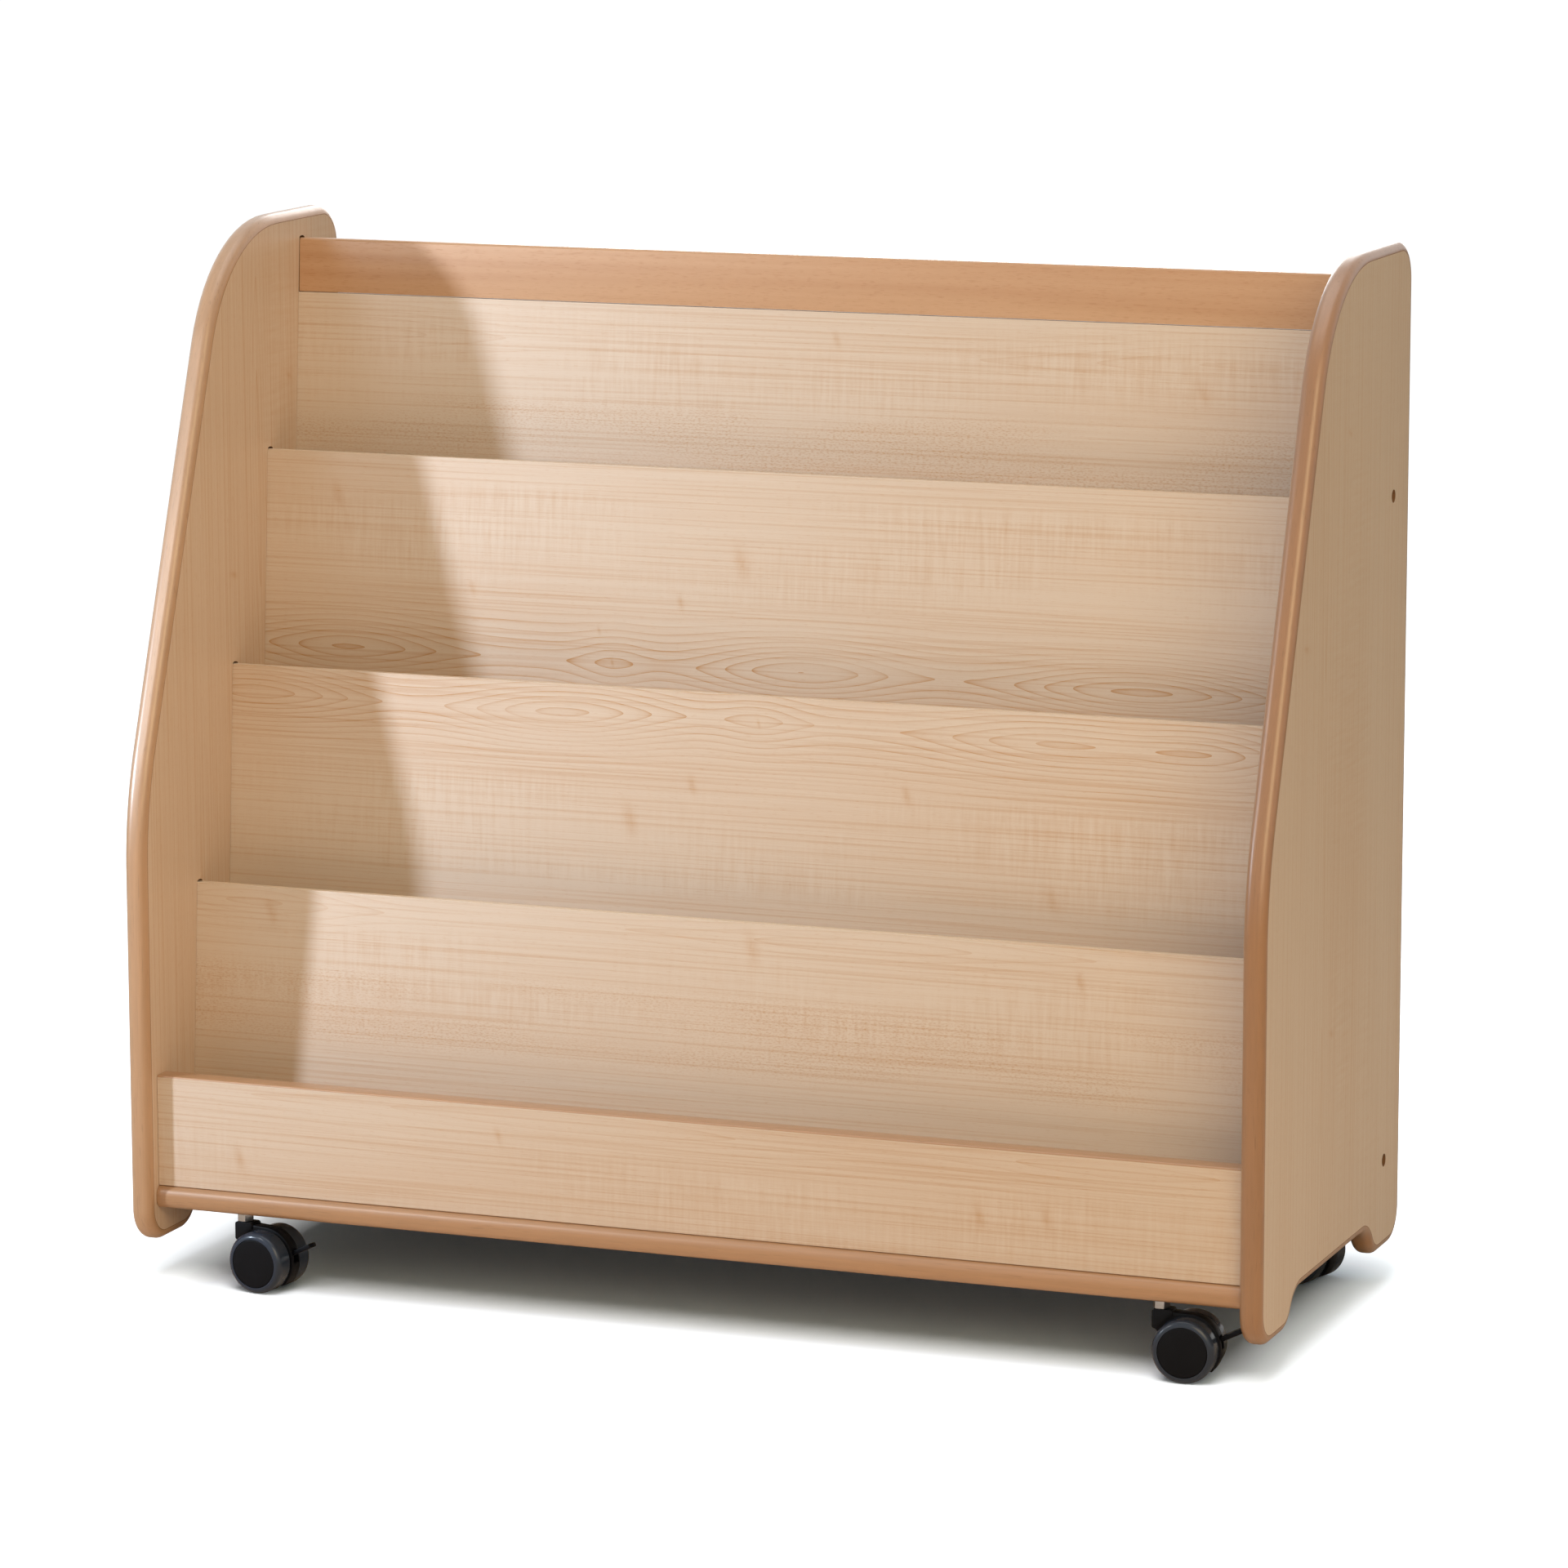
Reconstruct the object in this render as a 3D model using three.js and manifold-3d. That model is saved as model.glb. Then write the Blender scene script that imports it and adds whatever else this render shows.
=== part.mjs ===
// Mobile picture book display: two shaped side panels carry four leaning tiers, a beech top rail and a
// base shelf on four twin-wheel castors. Millimetres, +Z up, front towards -Y, origin on the floor
// under the middle of the unit.

import * as THREE from 'three';
import { mergeVertices } from 'three/addons/utils/BufferGeometryUtils.js';
import Module from 'manifold-3d';

const wasm = await Module();
wasm.setup();

// Boards
const WIDTH = 940;
const BOARD = 18;
const TIER_BOARD = 9;
const EDGE_ROUND = 7;
const SEAT_GAP = 0.3;
const GROOVE_DEPTH = 5;
const GROOVE_PLAY = 0.3;
const GROOVE_OVERRUN = 4;

// Tiers: the front top corner of the lowest one, then the steps up and back to the others
const LEAN = THREE.MathUtils.degToRad(4);
const FIRST_TIER_SETBACK = 95;
const FIRST_TIER_ABOVE_LIP = 142.5;
const TIER_RISE = 166.5;
const TIER_RUN = 71.8;
const TOP_TIER_RUN = 66.3;
const POCKET_DEPTH = 90;
const LEDGE_OVERHANG = 6;

// Top rail
const RAIL_HEIGHT = 44;
const RAIL_THICK = 20;
const RAIL_EASE = 2;

// Base shelf and front lip
const BASE_SETBACK = 11;
const LIP_SETBACK = 16;
const LIP_HEIGHT = 90;
const LIP_EASE = 1.5;

// Side panel outline
const PANEL_BEHIND_RAIL = 57;
const PANEL_ABOVE_RAIL = 22.5;
const KNEE_HEIGHT = 334;
const KNEE_RADIUS = 285;
const SLANT = THREE.MathUtils.degToRad(20.4);
const CROWN_RADIUS = 138;
const BACK_CORNER = 32;
const FOOT_CORNER = 28;
const FOOT_CLEARANCE = 33;
const FOOT_LENGTH = 60;
const FOOT_SWEEP_RADIUS = 28;
const ARCH_BELOW_BASE = 3;
const LINK_HOLE_RADIUS = 5.2;
const LINK_HOLE_INSET = 48;
const LINK_HOLE_BELOW_TOP = 197;
const LINK_HOLE_ABOVE_BASE = 27;

// Dowels
const DOWEL_RADIUS = 4;
const DOWEL_IN_PANEL = 11;
const DOWEL_IN_BOARD = 19;
const DOWEL_PLAY = 0.2;
const RAIL_DOWEL_SPACING = 22;
const RAIL_DOWEL_BEHIND_TIER = 5.5;
const LIP_DOWEL_SPACING = 46;
const BASE_DOWEL_INSET = 90;

// Castors
const CASTOR_HEIGHT = 61;
const CASTOR_SETBACK = 31;
const WHEEL_RADIUS = 25;
const WHEEL_FACETS = 20;
const WHEEL_WIDTH = 17;
const WHEEL_TRAIL = 22;
const WHEEL_GAP = 0.5;
const TYRE_DEPTH = 4;
const TYRE_INNER_ROUND = 1.8;
const HUB_DISH_RADIUS = 17;
const HUB_DISH = 0.7;
const HUB_CHAMFER = 0.6;
const HUB_CAP = 4;
const WEB_THICK = 11;
const WEB_OVER_WHEEL = 1;
const WEB_CHAMFER = 0.8;
const HUB_BOSS_RADIUS = 11;
const SKIRT_ANGLE = THREE.MathUtils.degToRad(-45);
const HEAD_FRONT = 6;
const HEAD_REAR = 10;
const HEAD_WIDTH = 13;
const HEAD_DROP = 15;
const HEAD_OVER_WHEEL = 1.2;
const HEAD_WALL = 1.6;
const AXLE_RADIUS = 3;
const AXLE_PLAY = 0.1;
const STEM_RADIUS = 5;
const STEM_THREAD = 11;
const STEM_FLANGE_RADIUS = 8.5;
const STEM_FLANGE = 1.5;
const STEM_HEX = 6.2;
const STEM_HEX_FLATS = 12;
const SWIVEL_PIN_RADIUS = 3.8;
const SWIVEL_PIN = 14;
const SWIVEL_PLAY = 0.15;
const INSERT_RADIUS = 7;
const INSERT_LENGTH = 12;
const THREAD_PLAY = 0.2;

// Brake lever of the front castors
const LEVER_PIVOT_FROM_AXLE = 13;
const LEVER_PIVOT_ABOVE_AXLE = 1.2;
const LEVER_LENGTH = 32;
const LEVER_THICK = 3.5;
const LEVER_WIDTH = 10;
const LEVER_TONGUE = 6;
const LEVER_TONGUE_THICK = 2.6;
const LEVER_HEAD_RADIUS = 2.6;
const LEVER_PIN_RADIUS = 1.6;
const LEVER_PIN_REACH = 1.6;
const LEVER_PLAY = 0.3;
const LEVER_PEDAL_START = 15;
const LEVER_RAISED = THREE.MathUtils.degToRad(27);
const LEVER_TRAVEL = THREE.MathUtils.degToRad(22);
const LEVER_TO_PANEL = 2.1;

// How the castors stand turned: the trail's direction, counted from +X
const CASTOR_TURN = {
  front_left: THREE.MathUtils.degToRad(-8.5),
  front_right: THREE.MathUtils.degToRad(3),
  rear_left: THREE.MathUtils.degToRad(-12),
  rear_right: THREE.MathUtils.degToRad(-16),
};

// Facets
const ARC_STEPS = 4;
const ROUND_STEPS = 3;
const DOWEL_FACETS = 12;
const STEM_FACETS = 12;

// Heights and places that follow from the sizes above; y counts from the front of the side panels
const innerHalf = WIDTH / 2 - BOARD;
const baseTop = CASTOR_HEIGHT + BOARD;
const lipTop = baseTop + LIP_HEIGHT;
const tiers = tierCorners();
const railTop = tiers[0].z;
const panelDepth = tiers[0].y + RAIL_THICK + PANEL_BEHIND_RAIL;
const panelHeight = railTop + PANEL_ABOVE_RAIL;
const axleHeight = WHEEL_RADIUS * Math.cos(Math.PI / WHEEL_FACETS);
const headTop = CASTOR_HEIGHT - SEAT_GAP - STEM_FLANGE - STEM_HEX - SEAT_GAP;
const leverPivot = new THREE.Vector2(
  WHEEL_TRAIL + LEVER_PIVOT_FROM_AXLE,
  axleHeight + LEVER_PIVOT_ABOVE_AXLE,
);
const castorX = innerHalf - LEVER_TO_PANEL - leverPivot.x - LEVER_LENGTH;

// Front top corner of each tier, listed from the rear one to the lowest
function tierCorners() {
  const corners = [];
  for (let step = 0; step < 3; step += 1) {
    corners.unshift({
      y: FIRST_TIER_SETBACK + step * TIER_RUN,
      z: lipTop + FIRST_TIER_ABOVE_LIP + step * TIER_RISE,
    });
  }
  corners.unshift({ y: corners[0].y + TOP_TIER_RUN, z: corners[0].z + TIER_RISE });
  return corners;
}

// A point of a tier's section: so far down along the lean from its corner, and so far back from its face
function tierPoint(tier, down, back) {
  return new THREE.Vector2(
    tier.y - down * Math.sin(LEAN) + back * Math.cos(LEAN),
    tier.z - down * Math.cos(LEAN) - back * Math.sin(LEAN),
  );
}

// Length of a tier along its lean from its corner to where its lower rear arris stands on a height
function tierLength(tier, height) {
  return (tier.z - height - SEAT_GAP - TIER_BOARD * Math.sin(LEAN)) / Math.cos(LEAN);
}

// How far back the rear face of a tier lies at a height
function tierRearAt(tier, height) {
  return tier.y - (tier.z - height) * Math.tan(LEAN) + TIER_BOARD / Math.cos(LEAN);
}

// Closed mesh to solid and back, for cutting and joining
function toSolid(geometry) {
  const bare = geometry.clone();
  bare.deleteAttribute('normal');
  bare.deleteAttribute('uv');
  const merged = mergeVertices(bare, 1e-3);
  return new wasm.Manifold(new wasm.Mesh({
    numProp: 3,
    vertProperties: new Float32Array(merged.attributes.position.array),
    triVerts: new Uint32Array(merged.index.array),
  }));
}

function toGeometry(solid) {
  const mesh = solid.getMesh();
  const geometry = new THREE.BufferGeometry();
  geometry.setAttribute('position', new THREE.BufferAttribute(mesh.vertProperties, 3));
  geometry.setIndex(new THREE.BufferAttribute(mesh.triVerts, 1));
  geometry.computeVertexNormals();
  return geometry;
}

function united(geometries) {
  return geometries.map(toSolid).reduce((sum, piece) => sum.add(piece));
}

function cut(geometry, tools) {
  return toGeometry(toSolid(geometry).subtract(united(tools)));
}

function join(geometries) {
  return toGeometry(united(geometries));
}

// A section in the (y, z) plane, y from the panels' front, extruded along X between two places
function alongX(shape, from, to, options = {}) {
  const depth = to - from - 2 * (options.bevelThickness ?? 0);
  const geometry = new THREE.ExtrudeGeometry(shape, {
    depth, bevelEnabled: false, curveSegments: ARC_STEPS, ...options,
  });
  const turn = new THREE.Matrix4().makeBasis(
    new THREE.Vector3(0, 1, 0),
    new THREE.Vector3(0, 0, 1),
    new THREE.Vector3(1, 0, 0),
  );
  geometry.applyMatrix4(turn);
  return geometry.translate(from + (options.bevelThickness ?? 0), -panelDepth / 2, 0);
}

// A section in the (x, z) plane extruded evenly to both sides of the castor's middle plane
function acrossCastor(shape, width, options = {}) {
  const depth = width - 2 * (options.bevelThickness ?? 0);
  const geometry = new THREE.ExtrudeGeometry(shape, {
    depth, bevelEnabled: false, curveSegments: ARC_STEPS, ...options,
  });
  geometry.translate(0, 0, -depth / 2);
  return geometry.rotateX(Math.PI / 2);
}

function rodAlongX(radius, from, to, y, z) {
  const rod = new THREE.CylinderGeometry(radius, radius, to - from, DOWEL_FACETS);
  rod.rotateZ(Math.PI / 2);
  return rod.translate((from + to) / 2, y - panelDepth / 2, z);
}

function rodAlongZ(radius, from, to, facets = STEM_FACETS) {
  const rod = new THREE.CylinderGeometry(radius, radius, to - from, facets);
  rod.rotateX(Math.PI / 2);
  return rod.translate(0, 0, (from + to) / 2);
}

function rodAcross(radius, length, x, z) {
  const rod = new THREE.CylinderGeometry(radius, radius, length, STEM_FACETS);
  return rod.translate(x, 0, z);
}

function rectangle(front, back, bottom, top) {
  return new THREE.Shape([
    new THREE.Vector2(front, bottom),
    new THREE.Vector2(back, bottom),
    new THREE.Vector2(back, top),
    new THREE.Vector2(front, top),
  ]);
}

// A rectangle in section with its arrises rounded
function boardSection(front, bottom, depth, height, round) {
  const shape = new THREE.Shape();
  const back = front + depth;
  const top = bottom + height;
  shape.absarc(front + round, bottom + round, round, Math.PI, 1.5 * Math.PI);
  shape.absarc(back - round, bottom + round, round, 1.5 * Math.PI, 2 * Math.PI);
  shape.absarc(back - round, top - round, round, 0, Math.PI / 2);
  shape.absarc(front + round, top - round, round, Math.PI / 2, Math.PI);
  shape.closePath();
  return shape;
}

// Finishes
function board() {
  return new THREE.MeshStandardMaterial({ color: 0xe2c79d, roughness: 0.5, metalness: 0 });
}

function beech() {
  return new THREE.MeshStandardMaterial({ color: 0xd9a878, roughness: 0.45, metalness: 0 });
}

function blackPlastic() {
  return new THREE.MeshStandardMaterial({ color: 0x1a1a1c, roughness: 0.45, metalness: 0 });
}

function tyreRubber() {
  return new THREE.MeshStandardMaterial({ color: 0x3c4656, roughness: 0.3, metalness: 0 });
}

function steel() {
  return new THREE.MeshStandardMaterial({ color: 0xd5d7da, roughness: 0.35, metalness: 1 });
}

function named(name, geometry, material) {
  const mesh = new THREE.Mesh(geometry, material);
  mesh.name = name;
  return mesh;
}

// Side panels

// Outline from the front foot along the floor side to the back, over the crown and down the front
function sideOutline() {
  const shape = new THREE.Shape();
  const archHeight = CASTOR_HEIGHT - ARCH_BELOW_BASE;
  const sweep = Math.acos(1 - (archHeight - FOOT_CLEARANCE) / (2 * FOOT_SWEEP_RADIUS));
  const sweepRun = 2 * FOOT_SWEEP_RADIUS * Math.sin(sweep);
  const footCentre = FOOT_CLEARANCE + FOOT_SWEEP_RADIUS;
  const archCentre = archHeight - FOOT_SWEEP_RADIUS;
  const quarter = Math.PI / 2;

  const foot = FOOT_CORNER;
  const rearFoot = panelDepth - FOOT_LENGTH;
  shape.absarc(foot, FOOT_CLEARANCE + foot, foot, Math.PI, 3 * quarter);
  shape.absarc(FOOT_LENGTH, footCentre, FOOT_SWEEP_RADIUS, 3 * quarter, 3 * quarter + sweep);
  shape.absarc(FOOT_LENGTH + sweepRun, archCentre, FOOT_SWEEP_RADIUS, quarter + sweep, quarter, true);
  shape.absarc(rearFoot - sweepRun, archCentre, FOOT_SWEEP_RADIUS, quarter, quarter - sweep, true);
  shape.absarc(rearFoot, footCentre, FOOT_SWEEP_RADIUS, 3 * quarter - sweep, 3 * quarter);
  shape.absarc(panelDepth - foot, FOOT_CLEARANCE + foot, foot, 3 * quarter, 4 * quarter);

  shape.absarc(panelDepth - BACK_CORNER, panelHeight - BACK_CORNER, BACK_CORNER, 0, quarter);
  const kneeTop = {
    y: KNEE_RADIUS * (1 - Math.cos(SLANT)),
    z: KNEE_HEIGHT + KNEE_RADIUS * Math.sin(SLANT),
  };
  const crownZ = panelHeight - CROWN_RADIUS;
  const crownY = kneeTop.y + (CROWN_RADIUS + (crownZ - kneeTop.z) * Math.sin(SLANT)) / Math.cos(SLANT);
  shape.absarc(crownY, crownZ, CROWN_RADIUS, quarter, Math.PI - SLANT);
  shape.absarc(KNEE_RADIUS, KNEE_HEIGHT, KNEE_RADIUS, Math.PI - SLANT, Math.PI);
  shape.closePath();
  return shape;
}

// Groove for a tier's end: its round end shows above the tier, and it runs out past the tier's foot
function tierGroove(topCorner, length, from, to) {
  const half = TIER_BOARD / 2 + GROOVE_PLAY;
  const tip = tierPoint(topCorner, 0, TIER_BOARD / 2);
  const end = length + GROOVE_OVERRUN;
  const rear = tierPoint(topCorner, end, TIER_BOARD + GROOVE_PLAY);
  const front = tierPoint(topCorner, end, -GROOVE_PLAY);
  const shape = new THREE.Shape();
  shape.moveTo(front.x, front.y);
  shape.lineTo(rear.x, rear.y);
  shape.absarc(tip.x, tip.y, half, -LEAN, Math.PI - LEAN);
  shape.closePath();
  return alongX(shape, from, to);
}

// Groove for a ledge's end, cut from the groove of the tier in front of it
function ledgeGroove(ledge, from, to) {
  const front = ledge.front - GROOVE_OVERRUN;
  const back = ledge.back + GROOVE_PLAY;
  const bottom = ledge.top - TIER_BOARD - GROOVE_PLAY;
  return alongX(rectangle(front, back, bottom, ledge.top + GROOVE_PLAY), from, to);
}

function linkHoles(from, to) {
  const y = panelDepth - LINK_HOLE_INSET;
  const upper = rodAlongX(LINK_HOLE_RADIUS, from, to, y, panelHeight - LINK_HOLE_BELOW_TOP);
  const lower = rodAlongX(LINK_HOLE_RADIUS, from, to, y, baseTop + LINK_HOLE_ABOVE_BASE);
  return [upper, lower];
}

function sidePanel(side) {
  const spanX = (near, far) => (side > 0 ? [near, far] : [-far, -near]);
  const [low, high] = spanX(innerHalf, WIDTH / 2);
  const slab = alongX(sideOutline(), low, high, {
    bevelEnabled: true,
    bevelThickness: EDGE_ROUND,
    bevelSize: EDGE_ROUND,
    bevelOffset: -EDGE_ROUND,
    bevelSegments: ROUND_STEPS,
  });
  const [grooveLow, grooveHigh] = spanX(innerHalf - BOARD, innerHalf + GROOVE_DEPTH);
  const [holeLow, holeHigh] = spanX(innerHalf - BOARD, innerHalf + DOWEL_IN_PANEL + SEAT_GAP);
  const [throughLow, throughHigh] = spanX(innerHalf - BOARD, WIDTH / 2 + BOARD);
  const tools = [
    ...tiers.map((tier, i) => tierGroove(tier, tierLength(tier, tierFeet[i]), grooveLow, grooveHigh)),
    ...ledges.map((ledge) => ledgeGroove(ledge, grooveLow, grooveHigh)),
    ...linkHoles(throughLow, throughHigh),
    ...dowelPlaces.map(({ y, z }) => rodAlongX(DOWEL_RADIUS + DOWEL_PLAY, holeLow, holeHigh, y, z)),
  ];
  return cut(slab, tools);
}

// Tiers, ledges, rail, base and lip

function ledgePlaces() {
  return tiers.slice(0, -1).map((tier, i) => {
    const top = tiers[i + 1].z - POCKET_DEPTH;
    return {
      top,
      front: tierRearAt(tiers[i + 1], top) + SEAT_GAP,
      back: tierRearAt(tier, top) + LEDGE_OVERHANG,
    };
  });
}

function tierPanel(index) {
  const tier = tiers[index];
  const top = index === 0 ? RAIL_HEIGHT + SEAT_GAP : 0;
  const length = tierLength(tier, tierFeet[index]);
  const shape = new THREE.Shape([
    tierPoint(tier, top, 0),
    tierPoint(tier, length, 0),
    tierPoint(tier, length, TIER_BOARD),
    tierPoint(tier, top, TIER_BOARD),
  ]);
  const end = innerHalf + GROOVE_DEPTH - SEAT_GAP;
  return alongX(shape, -end, end);
}

function ledgeBoard(ledge) {
  const end = innerHalf + GROOVE_DEPTH - SEAT_GAP;
  return alongX(rectangle(ledge.front, ledge.back, ledge.top - TIER_BOARD, ledge.top), -end, end);
}

function withDowelHoles(geometry, places) {
  const end = innerHalf + SEAT_GAP;
  const reach = innerHalf - DOWEL_IN_BOARD - SEAT_GAP;
  const radius = DOWEL_RADIUS + DOWEL_PLAY;
  return cut(geometry, places.flatMap(({ y, z }) => [
    rodAlongX(radius, reach, end, y, z),
    rodAlongX(radius, -end, -reach, y, z),
  ]));
}

function topRail() {
  const section = boardSection(0, -RAIL_HEIGHT, RAIL_THICK, RAIL_HEIGHT, RAIL_EASE);
  const end = innerHalf - SEAT_GAP;
  const rail = alongX(section, -end, end, { curveSegments: 1 });
  rail.translate(0, panelDepth / 2, 0);
  rail.rotateX(-LEAN);
  rail.translate(0, tiers[0].y - panelDepth / 2, railTop);
  return withDowelHoles(rail, railDowels);
}

function baseShelf() {
  const depth = panelDepth - 2 * BASE_SETBACK;
  const end = innerHalf - SEAT_GAP;
  const shelf = alongX(boardSection(BASE_SETBACK, CASTOR_HEIGHT, depth, BOARD, EDGE_ROUND), -end, end);
  const sockets = Object.keys(CASTOR_TURN).map((corner) => {
    const top = CASTOR_HEIGHT + INSERT_LENGTH + 2 * SEAT_GAP;
    const socket = rodAlongZ(INSERT_RADIUS + THREAD_PLAY, CASTOR_HEIGHT - SEAT_GAP, top);
    const place = castorPlace(corner);
    return socket.rotateZ(CASTOR_TURN[corner]).translate(place.x, place.y, 0);
  });
  return withDowelHoles(cut(shelf, sockets), baseDowels);
}

function frontLip() {
  const bottom = baseTop + SEAT_GAP;
  const section = boardSection(LIP_SETBACK, bottom, BOARD, lipTop - bottom, LIP_EASE);
  const end = innerHalf - SEAT_GAP;
  return withDowelHoles(alongX(section, -end, end, { curveSegments: 1 }), lipDowels);
}

// Dowel places in section, with the words that name them

function railDowelPlaces() {
  const back = TIER_BOARD + RAIL_DOWEL_BEHIND_TIER;
  return [-1, 1].map((end) => {
    const point = tierPoint(tiers[0], RAIL_HEIGHT / 2 + end * RAIL_DOWEL_SPACING / 2, back);
    return { name: end < 0 ? 'rail_dowel_upper' : 'rail_dowel_lower', y: point.x, z: point.y };
  });
}

function lipDowelPlaces() {
  const middle = baseTop + LIP_HEIGHT / 2;
  return [1, -1].map((end) => ({
    name: end > 0 ? 'lip_dowel_upper' : 'lip_dowel_lower',
    y: LIP_SETBACK + BOARD / 2,
    z: middle + end * LIP_DOWEL_SPACING / 2,
  }));
}

function baseDowelPlaces() {
  const z = CASTOR_HEIGHT + BOARD / 2;
  return [
    { name: 'base_dowel_front', y: BASE_DOWEL_INSET, z },
    { name: 'base_dowel_rear', y: panelDepth - BASE_DOWEL_INSET, z },
  ];
}

function dowel(side, { name, y, z }) {
  const span = [innerHalf - DOWEL_IN_BOARD, innerHalf + DOWEL_IN_PANEL];
  const [from, to] = side > 0 ? span : [-span[1], -span[0]];
  const word = side > 0 ? 'right' : 'left';
  return named(`${word}_${name}`, rodAlongX(DOWEL_RADIUS, from, to, y, z), beech());
}

// Castors: x runs along the trail, y along the axle, z up from the floor, with the stem over the origin

function castorPlace(corner) {
  const x = corner.endsWith('left') ? -castorX : castorX;
  const y = panelDepth / 2 - CASTOR_SETBACK;
  return { x, y: corner.startsWith('front') ? -y : y };
}

// Flange and hexagon under the shelf, thread above them and plain swivel pin below
function castorStem() {
  const flangeTop = CASTOR_HEIGHT - SEAT_GAP;
  const hexTop = flangeTop - STEM_FLANGE;
  const hexBottom = hexTop - STEM_HEX;
  const hexRadius = STEM_HEX_FLATS / Math.sqrt(3);
  return join([
    rodAlongZ(STEM_FLANGE_RADIUS, hexTop, flangeTop),
    rodAlongZ(STEM_RADIUS, hexTop, flangeTop + STEM_THREAD),
    rodAlongZ(hexRadius, hexBottom, hexTop + STEM_FLANGE / 2, 6),
    rodAlongZ(SWIVEL_PIN_RADIUS, hexBottom - SWIVEL_PIN, hexTop),
  ]);
}

function threadedInsert() {
  const bottom = CASTOR_HEIGHT + SEAT_GAP;
  const shell = rodAlongZ(INSERT_RADIUS, bottom, bottom + INSERT_LENGTH);
  const bore = rodAlongZ(STEM_RADIUS + THREAD_PLAY, bottom - 1, bottom + INSERT_LENGTH + 1);
  return cut(shell, [bore]);
}

// Web between the wheels: head over the stem, hood round the wheels, skirt at the rear, boss at the axle
function housingWeb() {
  const rim = WHEEL_RADIUS + WEB_OVER_WHEEL;
  const front = HEAD_WALL - HEAD_FRONT;
  const top = headTop - HEAD_WALL;
  const shape = new THREE.Shape();
  shape.moveTo(front, headTop - HEAD_DROP);
  shape.absarc(WHEEL_TRAIL, axleHeight, HUB_BOSS_RADIUS, 1.2 * Math.PI, 1.62 * Math.PI);
  shape.absarc(WHEEL_TRAIL, axleHeight, rim, SKIRT_ANGLE, Math.PI / 2);
  shape.lineTo(HEAD_REAR, top);
  shape.lineTo(front, top);
  shape.closePath();
  return acrossCastor(shape, WEB_THICK, {
    bevelEnabled: true,
    bevelThickness: WEB_CHAMFER,
    bevelSize: WEB_CHAMFER,
    bevelOffset: -WEB_CHAMFER,
    bevelSegments: 1,
  });
}

function housingHead() {
  const length = HEAD_FRONT + HEAD_REAR;
  const head = boardSection(-HEAD_FRONT, headTop - HEAD_DROP, length, HEAD_DROP, WEB_CHAMFER);
  const block = acrossCastor(head, HEAD_WIDTH, { curveSegments: 1 });
  const wheelRoom = rodAcross(WHEEL_RADIUS + HEAD_OVER_WHEEL, 2 * HEAD_WIDTH, WHEEL_TRAIL, axleHeight);
  return cut(block, [wheelRoom]);
}

// Room for the lever's tongue from raised to pressed, and for its two pins
function leverRoom() {
  const radius = LEVER_HEAD_RADIUS + LEVER_PLAY;
  const quarter = Math.PI / 2;
  const pressed = LEVER_RAISED - LEVER_TRAVEL;
  const reach = LEVER_LENGTH;
  const shape = new THREE.Shape();
  shape.absarc(leverPivot.x, leverPivot.y, radius, LEVER_RAISED + quarter, pressed + 3 * quarter);
  shape.lineTo(
    leverPivot.x + reach * Math.cos(pressed) + radius * Math.sin(pressed),
    leverPivot.y + reach * Math.sin(pressed) - radius * Math.cos(pressed),
  );
  shape.lineTo(
    leverPivot.x + reach * Math.cos(LEVER_RAISED) - radius * Math.sin(LEVER_RAISED),
    leverPivot.y + reach * Math.sin(LEVER_RAISED) + radius * Math.cos(LEVER_RAISED),
  );
  shape.closePath();
  const pinLength = LEVER_TONGUE + 2 * (LEVER_PIN_REACH + LEVER_PLAY);
  return [
    acrossCastor(shape, LEVER_TONGUE + 2 * LEVER_PLAY),
    rodAcross(LEVER_PIN_RADIUS + LEVER_PLAY, pinLength, leverPivot.x, leverPivot.y),
  ];
}

function castorHousing(braked) {
  const swivelBore = rodAlongZ(
    SWIVEL_PIN_RADIUS + SWIVEL_PLAY,
    headTop - SWIVEL_PIN,
    headTop + SEAT_GAP,
  );
  const axleBore = rodAcross(AXLE_RADIUS + AXLE_PLAY, 2 * WEB_THICK, WHEEL_TRAIL, axleHeight);
  const tools = [swivelBore, axleBore, ...(braked ? leverRoom() : [])];
  return cut(join([housingWeb(), housingHead()]), tools);
}

function axlePin() {
  const length = WEB_THICK + 2 * (WHEEL_GAP + WHEEL_WIDTH - HUB_CAP - SEAT_GAP);
  return rodAcross(AXLE_RADIUS, length, WHEEL_TRAIL, axleHeight);
}

function lathe(points) {
  return new THREE.LatheGeometry(points, WHEEL_FACETS, Math.PI / WHEEL_FACETS);
}

// Hub disc with a blind bore for the axle and a shallow dish in its outer face
function wheelHub() {
  const radius = WHEEL_RADIUS - TYRE_DEPTH - SEAT_GAP;
  const bore = AXLE_RADIUS + AXLE_PLAY;
  const profile = [
    [0, WHEEL_WIDTH - HUB_CAP],
    [bore, WHEEL_WIDTH - HUB_CAP],
    [bore, 0],
    [radius, 0],
    [radius, WHEEL_WIDTH - HUB_CHAMFER],
    [radius - HUB_CHAMFER, WHEEL_WIDTH],
    [HUB_DISH_RADIUS + HUB_DISH, WHEEL_WIDTH],
    [HUB_DISH_RADIUS, WHEEL_WIDTH - HUB_DISH],
    [0, WHEEL_WIDTH - HUB_DISH],
  ];
  return lathe(profile.map(([r, y]) => new THREE.Vector2(r, y)));
}

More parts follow.
